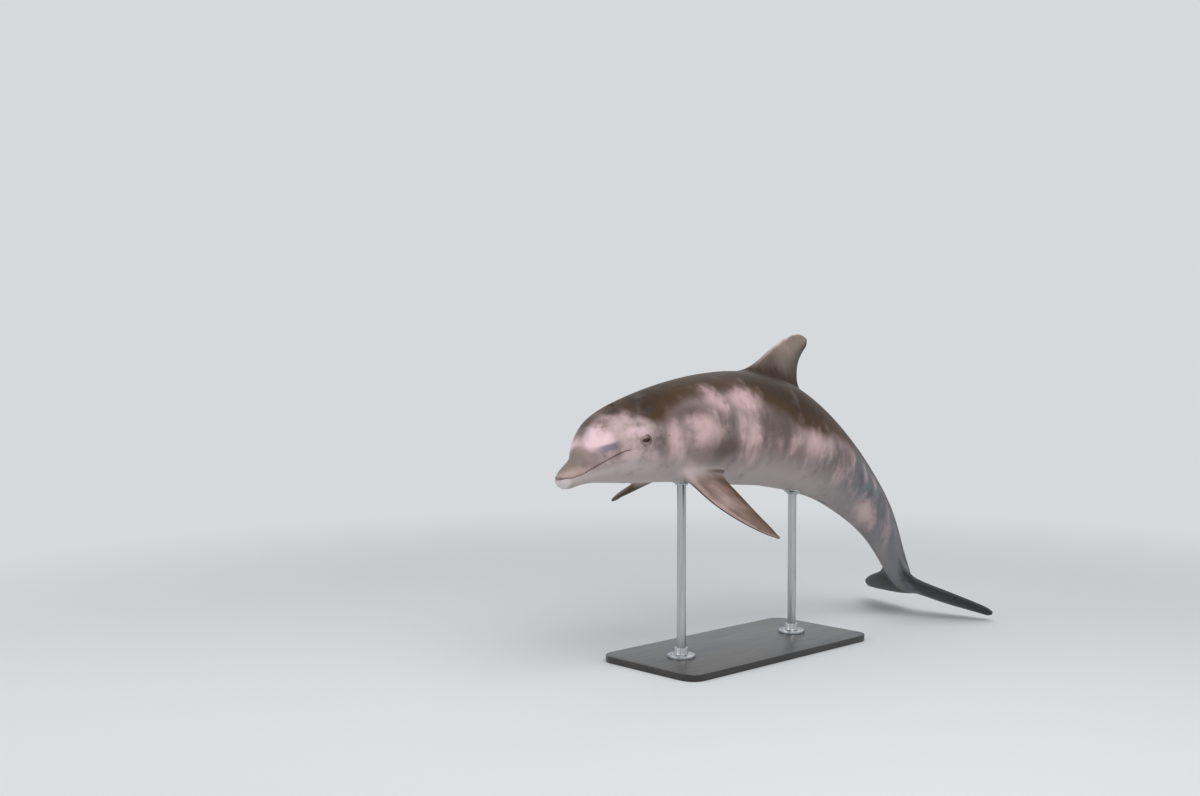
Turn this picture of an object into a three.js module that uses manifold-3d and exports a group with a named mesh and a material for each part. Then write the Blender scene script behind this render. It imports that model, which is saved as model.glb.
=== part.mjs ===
// Bottlenose dolphin: a life-size still model, arched with its tail swung down, on a flat display
// stand with two rods. Millimetres, +Z up, nose towards +X, left side towards +Y, floor at z = 0.
import * as THREE from 'three';
import { mergeVertices } from 'three/addons/utils/BufferGeometryUtils.js';
import Module from 'manifold-3d';

// ---- driving dimensions -------------------------------------------------------------------

const TOTAL_LENGTH = 2300;        // beak tip to fluke notch, along the body
const GAP = 0.3;                  // clearance between touching solids
const ROUND_SEGMENTS = 24;        // sides of the rods and flanges
const BANK = 5.5;                 // degrees, left side raised
const SPINE_ORIGIN = 805;         // distance from the beak tip where the spine crosses x = 0

// Pitch of the body axis: [distance from beak tip, degrees the front end points down].
const BEND = [[0, 11], [276, 7.5], [575, 2.2], [920, -4], [1196, -19.5], [1472, -30],
  [1748, -41], [2000, -61], [2139, -51], [2300, -29]];

// Profile of the body about its axis: [distance from beak tip, millimetres].
const BACK = [[8, -60], [14, -53], [28, -45], [54, -33], [86, -19], [106, -7], [120, 6], [131, 26],
  [149, 52], [178, 80], [222, 107], [280, 127], [345, 142], [460, 164], [600, 188], [760, 209],
  [940, 222], [1100, 221], [1220, 208], [1311, 194], [1495, 163], [1679, 136], [1863, 110], [2024, 81],
  [2150, 53], [2240, 18]];
const BELLY = [[8, -68], [12, -82], [26, -95], [48, -100], [88, -99], [132, -102], [218, -119],
  [345, -144], [598, -174], [760, -191], [943, -200], [1127, -191], [1311, -165], [1495, -134],
  [1679, -114], [1863, -94], [2024, -71], [2150, -51], [2240, -18]];
const HALF_WIDTH = [[8, 7], [12, 16], [26, 27], [52, 36], [88, 43], [107, 50], [123, 60], [144, 75],
  [178, 94], [222, 111], [280, 124], [345, 135], [460, 153], [600, 170], [760, 184], [943, 189],
  [1127, 180], [1311, 157], [1495, 126], [1679, 92], [1863, 62], [2024, 42], [2150, 31], [2240, 16]];
// How round a section is: 2 is an ellipse, more is boxier, less is keeled.
const ROUNDNESS_ABOVE = [[0, 2.1], [115, 2.1], [218, 2.15], [345, 2.1], [940, 2], [1500, 1.85],
  [1900, 1.7], [2240, 2]];
const ROUNDNESS_BELOW = [[0, 2.2], [115, 2.4], [345, 2.2], [940, 2.1], [1500, 1.85], [1900, 1.7],
  [2240, 2]];
// Height of the widest line, as a share of the way from the belly to the back.
const WIDEST = [[0, 0.5], [115, 0.42], [218, 0.46], [460, 0.47], [940, 0.46], [1500, 0.48],
  [2240, 0.5]];

// Where the body is parted, from the beak tip.
const HEAD_END = 410;
const NECK_END = 530;
const TRUNK_END = 1400;
const TAIL_END = 2225;

// Mouth line, from the beak tip to its corner, and the back of the jaw down to the throat.
const MOUTH = [[-20, -60], [6, -60], [22, -60], [46, -64], [84, -63], [112, -54], [140, -43],
  [175, -31], [213, -21], [242, -19], [260, -24]];
const THROAT = -220;              // lower than every point of the head
const JAW_BACK = [[292, -62], [322, -112], [336, THROAT]];

const EYE = { along: 316, height: 3, radius: 17, sunk: 12.5, squash: 0.8 };
const BLOWHOLE = { along: 300, width: 38, length: 15, opening: 5, depth: 7 };

// A fin's outline is two curves from its root to the two sides of its rounded tip, as
// [back along the chord, out along the span]; its thickness is at the root, at MIDDLE and at the tip.
const DORSAL = {
  lead: [[-205, -45], [-70, 40], [100, 233], [214, 220]],
  trail: [[225, -45], [120, 28], [162, 118], [240, 192]],
  thickness: [32, 16, 6], along: 1084, lean: -6,
};
const FLIPPER = {
  lead: [[-82, -60], [-120, 70], [-112, 232], [76, 357]],
  trail: [[84, -60], [92, 40], [64, 180], [92, 344]],
  thickness: [40, 24, 6], along: 596, height: -143,
};
const FLIPPER_LEFT = { drop: 39, sweep: -2, twist: -3, bow: 14 };
const FLIPPER_RIGHT = { drop: 12, sweep: 3, twist: 9, bow: 44 };
const FLUKE = {
  lead: [[-95, 0], [-30, 70], [80, 210], [230, 322]],
  trail: [[150, 0], [208, 60], [214, 222], [260, 304]],
  thickness: [34, 18, 5], along: 2139, droop: 2.5, roll: -8.5, turn: 3, sag: 16,
};

const STAND = {
  length: 1000, width: 460, thickness: 24, corner: 60, edge: 3, below: 820, centre: -115,
  rods: [['front', 200], ['rear', -420]], rodRadius: 16,
  flangeRadius: 50, flangeThickness: 10, neckRadius: 24, neckHeight: 34,
};

const COLOURS = {
  skin: 0x8a8078, pale: 0xb9aca3, flipper: 0x7d726b, fluke: 0x4f4743,
  eye: 0x1a1512, base: 0x2e3134, steel: 0xb8bcc0,
};

// ---- small tools --------------------------------------------------------------------------

const wasm = await Module();
wasm.setup();

// A smooth curve through [at, value] points that never overshoots them.
function through(points) {
  const n = points.length - 1;
  const step = (i) => (points[i + 1][1] - points[i][1]) / (points[i + 1][0] - points[i][0]);
  const slope = points.map((_, i) => {
    if (i === 0) return step(0);
    if (i === n) return step(n - 1);
    const before = step(i - 1);
    const after = step(i);
    return before * after <= 0 ? 0 : (2 * before * after) / (before + after);
  });
  return (at) => {
    const x = Math.min(Math.max(at, points[0][0]), points[n][0]);
    let i = 0;
    while (i < n - 1 && x > points[i + 1][0]) i += 1;
    const width = points[i + 1][0] - points[i][0];
    const t = (x - points[i][0]) / width;
    return (1 + 2 * t) * (1 - t) ** 2 * points[i][1] + t * (1 - t) ** 2 * width * slope[i]
      + t * t * (3 - 2 * t) * points[i + 1][1] + t * t * (t - 1) * width * slope[i + 1];
  };
}

const radians = THREE.MathUtils.degToRad;
const material = (color, roughness = 0.45, metalness = 0) =>
  new THREE.MeshStandardMaterial({ color, roughness, metalness });

function solid(geometry) {
  geometry.deleteAttribute('normal');
  geometry.deleteAttribute('uv');
  const merged = mergeVertices(geometry, 1e-4);
  return new wasm.Manifold(new wasm.Mesh({
    numProp: 3,
    vertProperties: new Float32Array(merged.attributes.position.array),
    triVerts: new Uint32Array(merged.index.array),
  }));
}

function mesh(name, shape, look) {
  const { vertProperties, triVerts, numProp } = shape.getMesh();
  const places = [];
  for (let i = 0; i < vertProperties.length; i += numProp) {
    places.push(vertProperties[i], vertProperties[i + 1], vertProperties[i + 2]);
  }
  const geometry = new THREE.BufferGeometry();
  geometry.setAttribute('position', new THREE.Float32BufferAttribute(places, 3));
  geometry.setIndex(new THREE.Uint32BufferAttribute(triVerts, 1));
  geometry.computeVertexNormals();
  const made = new THREE.Mesh(geometry, look);
  made.name = name;
  return made;
}

// A closed cylinder whose every point is put where place(share along, angle, share of radius) says.
function shapedTube(around, rings, place) {
  const tube = new THREE.CylinderGeometry(1, 1, 1, around, rings);
  const points = tube.attributes.position;
  for (let i = 0; i < points.count; i += 1) {
    const radius = Math.hypot(points.getX(i), points.getZ(i));
    const angle = Math.atan2(points.getX(i), points.getZ(i));
    const { x, y, z } = place(0.5 - points.getY(i), angle, Math.min(radius, 1));
    points.setXYZ(i, x, y, z);
  }
  return solid(tube);
}

// ---- the bent body ------------------------------------------------------------------------

const pitchAt = through(BEND);
const backAt = through(BACK);
const bellyAt = through(BELLY);
const halfWidthAt = through(HALF_WIDTH);
const roundAbove = through(ROUNDNESS_ABOVE);
const roundBelow = through(ROUNDNESS_BELOW);
const widestAt = through(WIDEST);

const SPINE_STEP = 5;
const spine = [new THREE.Vector3()];
for (let s = 0; s < TOTAL_LENGTH; s += SPINE_STEP) {
  const pitch = radians(pitchAt(s + SPINE_STEP / 2));
  spine.push(new THREE.Vector3(-Math.cos(pitch), 0, Math.sin(pitch)).multiplyScalar(SPINE_STEP)
    .add(spine[spine.length - 1]));
}
const spineStart = spine[SPINE_ORIGIN / SPINE_STEP].clone();
spine.forEach((point) => point.sub(spineStart));

// Place, tailward direction, left and up of the body axis at a distance from the beak tip.
function axisAt(along) {
  const inside = THREE.MathUtils.clamp(along, 0, TOTAL_LENGTH);
  const i = Math.min(Math.floor(inside / SPINE_STEP), spine.length - 2);
  const pitch = radians(pitchAt(inside));
  const tailward = new THREE.Vector3(-Math.cos(pitch), 0, Math.sin(pitch));
  const place = spine[i].clone().lerp(spine[i + 1], inside / SPINE_STEP - i);
  place.addScaledVector(tailward, along - inside);
  return {
    place, tailward, left: new THREE.Vector3(0, 1, 0),
    up: new THREE.Vector3(Math.sin(pitch), 0, Math.cos(pitch)),
  };
}

const atHeight = (along, side, height) => {
  const { place, left, up } = axisAt(along);
  return place.clone().addScaledVector(left, side).addScaledVector(up, height);
};

// A point of the section at a distance from the beak tip; angle 0 is the left side, 90 the back.
function sectionPoint(along, angle, share = 1, grow = 0) {
  const top = backAt(along) + grow;
  const bottom = bellyAt(along) - grow;
  const widest = bottom + (top - bottom) * widestAt(along);
  const rise = Math.sin(angle);
  const power = 2 / (rise > 0 ? roundAbove(along) : roundBelow(along));
  const side = Math.sign(Math.cos(angle)) * Math.abs(Math.cos(angle)) ** power;
  const height = Math.sign(rise) * Math.abs(rise) ** power * (rise > 0 ? top - widest : widest - bottom);
  return atHeight(along, share * (halfWidthAt(along) + grow) * side, widest + share * height);
}

const AROUND = 32;                // sides of the body's sections

const spread = (from, to, rings, ease = 1) =>
  Array.from({ length: rings + 1 }, (_, i) => from + (to - from) * (i / rings) ** ease);

// A length of the body with a section at each of the stations.
function bodyLength(stations, grow = 0) {
  const rings = stations.length - 1;
  return shapedTube(AROUND, rings, (share, angle, radius) =>
    sectionPoint(stations[Math.round(share * rings)], angle, radius, grow));
}

const HEAD = spread(BACK[0][0], HEAD_END - GAP / 2, 30, 1.5);
const NECK = spread(HEAD_END + GAP / 2, NECK_END - GAP / 2, 3);
const TRUNK = spread(NECK_END + GAP / 2, TRUNK_END - GAP / 2, 15);
const TAIL = spread(TRUNK_END + GAP / 2, TAIL_END, 16);

// Half the body's width at a height, for setting pieces on its side.
function sideAt(along, height) {
  const top = backAt(along);
  const bottom = bellyAt(along);
  const widest = bottom + (top - bottom) * widestAt(along);
  const above = height > widest;
  const share = Math.abs(height - widest) / (above ? top - widest : widest - bottom);
  const power = above ? roundAbove(along) : roundBelow(along);
  return halfWidthAt(along) * (1 - Math.min(share, 1) ** power) ** (1 / power);
}

// ---- head, jaw, eyes and blowhole ---------------------------------------------------------

const WIDER_THAN_HEAD = 500;

// The lower jaw's part of space: below the mouth line and ahead of the jaw's back edge.
function jawSpace(grow) {
  const edge = [...MOUTH, ...JAW_BACK];
  const outline = edge.map(([along, height], i) => {
    const before = edge[Math.max(i - 1, 0)];
    const after = edge[Math.min(i + 1, edge.length - 1)];
    const run = new THREE.Vector2(after[0] - before[0], after[1] - before[1]).normalize();
    return [along - run.y * grow, height + run.x * grow];
  });
  outline.push([MOUTH[0][0], THROAT]);
  const shape = new THREE.Shape(outline.map(([along, height]) => {
    const { x, z } = atHeight(along, 0, height);
    return new THREE.Vector2(x, z);
  }));
  const block = new THREE.ExtrudeGeometry(shape, { depth: WIDER_THAN_HEAD, bevelEnabled: false });
  block.rotateX(Math.PI / 2);
  block.translate(0, WIDER_THAN_HEAD / 2, 0);
  return solid(block);
}

function eyeball(side, grow) {
  const { along, height, radius, sunk, squash } = EYE;
  const ball = new THREE.SphereGeometry(radius + grow, AROUND / 2, AROUND / 4);
  ball.scale(1, 1, squash);
  const { x, y, z } = atHeight(along, side * (sideAt(along, height) - sunk), height);
  ball.translate(x, y, z);
  return solid(ball);
}

function blowhole() {
  const { along, width, length, opening, depth } = BLOWHOLE;
  const crescent = new THREE.Shape();
  crescent.moveTo(-width / 2, length / 2);
  crescent.quadraticCurveTo(0, -length, width / 2, length / 2);
  crescent.quadraticCurveTo(0, -length + 2 * opening, -width / 2, length / 2);
  const cut = new THREE.ExtrudeGeometry(crescent, {
    depth: 2 * depth, bevelEnabled: false, curveSegments: ROUND_SEGMENTS / 3,
  });
  cut.translate(0, 0, -depth);
  cut.rotateZ(-Math.PI / 2);
  const rise = backAt(along + length) - backAt(along - length);
  cut.rotateY(radians(pitchAt(along)) - Math.atan2(rise, 2 * length));
  const { x, y, z } = atHeight(along, 0, backAt(along));
  cut.translate(x, y, z);
  return solid(cut);
}

const headWhole = bodyLength(HEAD);
const eyeSockets = eyeball(1, GAP).add(eyeball(-1, GAP));
const head = headWhole.subtract(jawSpace(GAP)).subtract(eyeSockets).subtract(blowhole());
const lowerJaw = headWhole.intersect(jawSpace(0));
const neck = bodyLength(NECK);
const trunk = bodyLength(TRUNK);
const tailStock = bodyLength(TAIL);

// ---- fins ---------------------------------------------------------------------------------

const FIN_AROUND = 14;
const FIN_RINGS = 13;
const TOWARD_TIP = 1.6;           // rings lie closer together near the tip
const ROUND_FROM = 0.9;           // share of the span where the tip starts to round off
const TIP_CHORD = 0.25;           // share of the chord left at the very tip
const MIDDLE = 0.45;              // share of the span where the middle thickness is
const EDGE_HALF = 0.4;            // half thickness of the sharp edges
const NO_FLANK = 1e-6;

// Half thickness of a fin's section, from the rounded leading edge to the thin trailing edge.
const foil = (chord) => Math.min(2.6 * Math.sqrt(chord) * (1 - chord) ** 0.85, 1);

// Share of a fin's chord that its rounded tip leaves.
function rounding(share) {
  const past = Math.max((share - ROUND_FROM) / (1 - ROUND_FROM), 0);
  return Math.max(Math.sqrt(1 - past * past), TIP_CHORD);
}

// 1 on the fin's one face, -1 on the other, and 0 along its edges.
function flankOf(angle) {
  const flank = Math.sin(angle);
  return Math.abs(flank) < NO_FLANK ? 0 : Math.sign(flank);
}

function fin({ lead, trail, thickness }, { origin, back, out, bow = 0 }) {
  const flat = new THREE.Vector3().crossVectors(out, back).normalize();
  const curve = (points) =>
    new THREE.CubicBezierCurve(...points.map(([x, y]) => new THREE.Vector2(x, y)));
  const leading = curve(lead);
  const trailing = curve(trail);
  const thick = through([[0, thickness[0]], [MIDDLE, thickness[1]], [1, thickness[2]]]);
  const reach = lead[3][1];
  return shapedTube(FIN_AROUND, FIN_RINGS, (part, angle, radius) => {
    const share = 1 - (1 - part) ** TOWARD_TIP;
    const chord = 0.5 - 0.5 * Math.cos(angle) * radius;
    const spot = leading.getPoint(share)
      .lerp(trailing.getPoint(share), 0.5 + (chord - 0.5) * rounding(share));
    const half = 0.5 * thick(share) * foil(chord) + EDGE_HALF;
    const lift = bow * Math.max(spot.y / reach, 0) ** 2;
    return origin.clone().addScaledVector(back, spot.x).addScaledVector(out, spot.y)
      .addScaledVector(flat, radius * flankOf(angle) * half + lift);
  });
}

const trunkSpace = bodyLength([...NECK, ...TRUNK], GAP);

function dorsalFin() {
  const { tailward, up } = axisAt(DORSAL.along);
  const origin = atHeight(DORSAL.along, 0, backAt(DORSAL.along));
  const out = up.clone().applyAxisAngle(tailward, radians(DORSAL.lean));
  return fin(DORSAL, { origin, back: tailward, out }).subtract(trunkSpace);
}

function flipper(side, { drop, sweep, twist, bow }) {
  const { tailward, left, up } = axisAt(FLIPPER.along);
  const origin = atHeight(FLIPPER.along, side * sideAt(FLIPPER.along, FLIPPER.height), FLIPPER.height);
  const out = left.clone().multiplyScalar(side * Math.cos(radians(drop)))
    .addScaledVector(up, -Math.sin(radians(drop))).multiplyScalar(Math.cos(radians(sweep)))
    .addScaledVector(tailward, Math.sin(radians(sweep)));
  const back = tailward.clone().addScaledVector(out, -tailward.dot(out)).normalize();
  back.applyAxisAngle(out, radians(twist * side));
  return fin(FLIPPER, { origin, back, out, bow: -bow * side }).subtract(trunkSpace);
}

const tailSpace = bodyLength([...TAIL, TAIL_END + GAP], GAP);

function fluke(side) {
  const { place } = axisAt(FLUKE.along);
  const { tailward, left, up } = axisAt(TOTAL_LENGTH);
  const back = tailward.clone().applyAxisAngle(left, radians(-FLUKE.droop));
  const out = left.clone().applyAxisAngle(back, radians(-FLUKE.roll));
  const over = new THREE.Vector3().crossVectors(out, back);
  back.applyAxisAngle(over, radians(FLUKE.turn));
  out.applyAxisAngle(over, radians(FLUKE.turn)).multiplyScalar(side);
  const origin = place.addScaledVector(over, -FLUKE.sag);
  return fin(FLUKE, { origin, back, out, bow: FLUKE.sag * side }).subtract(tailSpace);
}

const dorsal = dorsalFin();
const flipperLeft = flipper(1, FLIPPER_LEFT);
const flipperRight = flipper(-1, FLIPPER_RIGHT);
const flukeLeft = fluke(1);
const flukeRight = fluke(-1);

// ---- assembly -----------------------------------------------------------------------------

const dolphin = new THREE.Group();
const animal = new THREE.Group();
animal.add(
  mesh('head', head, material(COLOURS.skin)),
  mesh('lower_jaw', lowerJaw, material(COLOURS.pale)),
  mesh('eye_left', eyeball(1, 0), material(COLOURS.eye, 0.1)),
  mesh('eye_right', eyeball(-1, 0), material(COLOURS.eye, 0.1)),
  mesh('neck', neck, material(COLOURS.skin)),
  mesh('trunk', trunk, material(COLOURS.skin)),
  mesh('tail_stock', tailStock, material(COLOURS.skin)),
  mesh('dorsal_fin', dorsal, material(COLOURS.flipper)),
  mesh('flipper_left', flipperLeft, material(COLOURS.flipper)),
  mesh('flipper_right', flipperRight, material(COLOURS.flipper)),
  mesh('fluke_left', flukeLeft, material(COLOURS.fluke)),
  mesh('fluke_right', flukeRight, material(COLOURS.fluke)),
);
// Banked about the line of the belly, so that the rods stay under it.
const bellyLine = bellyAt(SPINE_ORIGIN);
animal.rotation.x = radians(BANK);
const belly = new THREE.Vector3(0, 0, bellyLine);
animal.position.copy(belly).sub(belly.clone().applyEuler(animal.rotation));
dolphin.add(animal);

const { length, width, thickness, corner, edge, below, centre } = STAND;

function standBase() {
  const plate = new THREE.Shape();
  const [x, y] = [length / 2 - edge, width / 2 - edge];
  plate.moveTo(-x + corner, -y);
  plate.lineTo(x - corner, -y);
  plate.absarc(x - corner, -y + corner, corner, -Math.PI / 2, 0);
  plate.absarc(x - corner, y - corner, corner, 0, Math.PI / 2);
  plate.absarc(-x + corner, y - corner, corner, Math.PI / 2, Math.PI);
  plate.absarc(-x + corner, -y + corner, corner, Math.PI, 1.5 * Math.PI);
  const slab = new THREE.ExtrudeGeometry(plate, {
    depth: thickness - 2 * edge, bevelThickness: edge, bevelSize: edge, bevelSegments: 1,
    curveSegments: ROUND_SEGMENTS / 4,
  });
  slab.translate(centre, 0, -below + edge);
  return solid(slab);
}

const baseTop = -below + thickness;
const { flangeRadius, flangeThickness, neckRadius, neckHeight, rodRadius } = STAND;

// A round flange on the base, with a short neck that the rod stands on.
function standFlange(x) {
  const flange = new THREE.LatheGeometry([
    [0, 0], [flangeRadius, 0], [flangeRadius, flangeThickness - edge],
    [flangeRadius - edge, flangeThickness],
    [neckRadius, flangeThickness], [neckRadius, neckHeight - edge], [neckRadius - edge, neckHeight],
    [0, neckHeight]].map(([r, h]) => new THREE.Vector2(r, h)), ROUND_SEGMENTS);
  flange.rotateX(Math.PI / 2);
  flange.translate(x, 0, baseTop + GAP);
  return solid(flange);
}

// A rod whose top end is cut to the belly.
const lyingTrunk = trunkSpace.rotate([BANK, 0, 0]).translate(animal.position.toArray());
function standRod(x) {
  const foot = baseTop + neckHeight + 2 * GAP;
  const rod = new THREE.CylinderGeometry(rodRadius, rodRadius, -foot, ROUND_SEGMENTS);
  rod.rotateX(Math.PI / 2);
  rod.translate(x, 0, foot / 2);
  const pieces = solid(rod).subtract(lyingTrunk).decompose();
  return pieces.sort((a, b) => a.boundingBox().min[2] - b.boundingBox().min[2])[0];
}

dolphin.add(mesh('stand_base', standBase(), material(COLOURS.base, 0.6, 0.2)));
STAND.rods.forEach(([name, x]) => {
  dolphin.add(mesh(`stand_flange_${name}`, standFlange(x), material(COLOURS.steel, 0.3, 0.9)));
  dolphin.add(mesh(`stand_rod_${name}`, standRod(x), material(COLOURS.steel, 0.3, 0.9)));
});

// The middle of the underside of the whole model's box is the origin.
dolphin.updateMatrixWorld(true);
const box = new THREE.Box3().setFromObject(dolphin, true);
dolphin.position.set(-(box.min.x + box.max.x) / 2, -(box.min.y + box.max.y) / 2, -box.min.z);

export default dolphin;
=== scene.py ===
"""Bottlenose dolphin: a life-size still model, arched with its tail swung down, on a display stand."""

import math

import bmesh
import bpy
from bpy.props import FloatProperty, FloatVectorProperty, IntProperty, PointerProperty
from mathutils import Euler, Matrix, Vector


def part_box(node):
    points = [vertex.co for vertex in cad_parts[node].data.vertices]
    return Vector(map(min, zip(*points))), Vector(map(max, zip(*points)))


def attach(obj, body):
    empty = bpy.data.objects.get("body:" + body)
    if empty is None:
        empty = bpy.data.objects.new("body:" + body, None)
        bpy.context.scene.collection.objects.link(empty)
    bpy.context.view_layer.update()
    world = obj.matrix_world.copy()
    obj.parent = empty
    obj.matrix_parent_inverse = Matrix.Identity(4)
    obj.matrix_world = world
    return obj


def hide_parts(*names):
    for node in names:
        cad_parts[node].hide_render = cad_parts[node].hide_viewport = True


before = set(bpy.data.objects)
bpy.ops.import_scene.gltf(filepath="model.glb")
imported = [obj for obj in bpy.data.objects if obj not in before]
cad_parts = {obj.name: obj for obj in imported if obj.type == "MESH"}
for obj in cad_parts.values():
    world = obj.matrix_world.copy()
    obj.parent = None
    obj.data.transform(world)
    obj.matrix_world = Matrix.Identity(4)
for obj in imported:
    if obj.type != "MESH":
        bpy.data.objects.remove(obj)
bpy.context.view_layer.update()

bl_info = {
    "name": "Dolphin on a display stand",
    "version": (1, 0, 0),
    "blender": (4, 5, 0),
    "location": "View3D > Sidebar > Dolphin",
    "description": "Makes a life-size bottlenose dolphin, its eyes and its stand around a packed frame",
    "category": "Add Mesh",
}

MM = 0.001

# ---- the body's driving dimensions: millimetres from the beak tip, and about the body's axis --------

TOTAL_LENGTH = 2300
SPINE_ORIGIN = 805
BELLY_LINE = -194
BANK = math.radians(5.5)

# Pitch of the axis: [distance from the beak tip, degrees the front end points down].
BEND = [(0, 11), (276, 7.5), (575, 2.2), (920, -4), (1196, -19.5), (1472, -30),
        (1748, -41), (2000, -61), (2139, -51), (2300, -29)]
BACK = [(8, -59), (14, -50), (28, -38), (54, -25), (86, -10), (106, 3), (120, 15), (131, 31),
        (149, 54), (178, 80), (222, 107), (280, 127), (345, 142), (460, 164), (600, 188), (760, 209),
        (940, 222), (1100, 221), (1220, 208), (1311, 194), (1495, 163), (1679, 136), (1863, 110),
        (2024, 81), (2150, 53), (2240, 18), (2290, 3)]
BELLY = [(8, -68), (12, -82), (26, -95), (48, -100), (88, -99), (132, -102), (218, -119),
         (345, -144), (598, -174), (760, -191), (943, -200), (1127, -191), (1311, -165), (1495, -134),
         (1679, -114), (1863, -94), (2024, -71), (2150, -51), (2240, -18), (2290, -3)]
HALF_WIDTH = [(8, 7), (12, 16), (26, 27), (52, 36), (88, 43), (107, 50), (123, 60), (144, 75),
              (178, 94), (222, 111), (280, 124), (345, 135), (460, 153), (600, 170), (760, 184),
              (943, 189), (1127, 180), (1311, 157), (1495, 126), (1679, 92), (1863, 62), (2024, 42),
              (2150, 31), (2240, 16), (2290, 10)]
# How round a section is: 2 is an ellipse, more is boxier, less is keeled.
ROUND_ABOVE = [(0, 2.1), (115, 2.1), (218, 2.15), (345, 2.1), (940, 2), (1500, 1.85), (1900, 1.7),
               (2240, 2)]
ROUND_BELOW = [(0, 2.2), (115, 2.4), (345, 2.2), (940, 2.1), (1500, 1.85), (1900, 1.7), (2240, 2)]
# Height of the widest line, as a share of the way from the belly to the back.
WIDEST = [(0, 0.5), (115, 0.42), (218, 0.46), (460, 0.47), (940, 0.46), (1500, 0.48), (2240, 0.5)]
MOUTH = [(-20, -60), (6, -60), (22, -60), (46, -64), (84, -63), (112, -54), (140, -43), (175, -31),
         (213, -21), (238, -18), (262, -21), (300, -42), (410, -72)]
MOUTH_CORNER = 262

# A fin's outline is two curves from its root to the two sides of its rounded tip, as
# (back along the chord, out along the span). Its thickness is given at shares of the way to its tip.
# Angles are in degrees; bow and sag bend a fin along its span, and flex across its chord near its tip.
# Where the sides differ, 1 is the left one.
DORSAL = {"lead": [(-205, -45), (-70, 40), (100, 233), (214, 220)],
          "trail": [(225, -45), (120, 28), (162, 118), (240, 192)],
          "thickness": [(0, 32), (0.45, 16), (1, 6)], "along": 1084, "lean": -6}
FLIPPER = {"lead": [(-82, -60), (-120, 70), (-112, 232), (76, 357)],
           "trail": [(84, -60), (92, 40), (64, 180), (92, 344)],
           "thickness": [(0, 40), (0.45, 24), (1, 6)], "along": 596, "height": -143}
FLIPPER_SET = {1: {"drop": 39, "sweep": -2, "twist": -3, "bow": 14},
               -1: {"drop": 14, "sweep": 3, "twist": 17, "bow": 36}}
FLUKE = {"lead": [(-95, 0), (-30, 70), (62, 222), (222, 324)],
         "trail": [(150, 0), (208, 60), (222, 222), (266, 300)],
         "thickness": [(0, 34), (0.45, 20), (1, 9)], "along": 2139, "droop": 2.5, "roll": -8.5,
         "turn": 3, "sag": 16, "flex": {1: -13, -1: 0}}
EYE = {"along": 316, "height": 3, "radius": 17, "sunk": 12.5, "squash": 0.8, "tilt": 5}
# The stand, from the body's origin: how far down its underside is, and how far ahead its middle.
STAND = {"below": 820, "centre": -115}

# The dark cape's lower edge and the pale belly's upper edge, as heights along the body.
CAPE = [(0, 60), (130, 66), (178, 90), (205, 101), (250, 110), (285, 106), (325, 88), (350, 66),
        (375, 46), (400, 54), (435, 72), (480, 92), (560, 112), (650, 136), (760, 138),
        (850, 108), (940, 62), (1084, 20), (1200, 26), (1311, 60), (1495, 82), (1679, 78), (1863, 62),
        (2024, 48), (2150, 30), (2300, 2)]
PALE = [(0, -58), (60, -62), (120, -56), (246, -44), (316, -62), (460, -92), (600, -112), (940, -118),
        (1311, -104), (1500, -86), (1700, -76), (1900, -72), (2100, -66), (2300, -60)]

# ---- the cage: one closed skin of coarse faces, which is then smoothed ------------------------------

ROWS = 22                 # rows of points on each side, from the back to the belly
MOUTH_ROW = 13            # the row along the mouth; the lips are two rows above it and two below
LIP_GAP = 1.9             # between the lips' rows at the mouth
LIP_SHARE = 0.25          # most that this may be of the way from the mouth to the top
LIP_SPREAD = (2.6, 2)     # the outer lip rows' distance in gaps, at the mouth and behind it
HIGHEST_MOUTH = math.radians(45)
LEAVING_MOUTH = 300       # where the lips' rows start to leave the mouth's line
FREE_OF_MOUTH = 430       # where they have spread to even spaces
MOUTH_RELIEF = {-2: 0.8, -1: -0.3, 0: -5.5, 1: -0.3, 2: 1.0}  # how far rows below the mouth's move out
MOUTH_FADE = (MOUTH_CORNER - 14, MOUTH_CORNER + 4)  # where the mouth's line dies out
NEAREST_SHARE = 0.7       # how near to the middle the mouth's line may go, of where it was

# Rings at the beak's tip: distance, how far the top leans back of the bottom, and size.
TIP_RINGS = [(7.2, 0.6, 0.42), (8.8, 1.6, 0.8), (12, 2.6, 1), (17, 2.8, 1), (24, 2.4, 1), (33, 1.6, 1),
             (44, 0.6, 1)]
# Rings along the body, by their distance; more follow where the fins grow and between them.
RINGS = [57, 70, 83, 95, 104, 112, 120, 128, 138, 150, 164, 180, 197, 214, 230, 246, 261, 276, 290,
         303, 316, 329, 342, 356, 372, 390, 410, 432, 456]
CHORD_EASE = 1.35         # closer points near a fin's leading edge
FIN_NOSE = 0.02           # share of a fin's chord in its rounded leading edge
FIN_END = 0.998           # where a fin's last ring is, on the way to its tip
FIN_EDGE = 0.9            # least half thickness of a fin
ROUND_FROM = 0.9          # where a fin's tip starts to round off, on the way to it
TOWARD_TIP = 1.6          # closer rings near a fin's tip
FIN_RINGS = 11
FOIL_NOSE, FOIL_TAPER = 2.6, 0.85  # how blunt a fin's section is in front, and how it thins behind
NEAR, NEAR_TURN = 2, 0.02          # steps in millimetres and radians that give the skin's slope

# What each point of the skin knows, for its markings: distance from the beak's tip, height, distance
# to the left, height over the cape's edge, depth under the belly's edge, how far out along a fin,
# where across it and on which of its sides, and how far in the mouth's line or an opening.
MARKS = ("along", "height", "side", "cape", "below", "dorsal", "flipper", "fluke", "chord", "flank",
         "upper", "mouth", "hollow")


def even(start, stop, count):
    """Numbers evenly spaced from start to stop, stop left out."""
    return [start + (stop - start) * i / count for i in range(count)]


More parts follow.
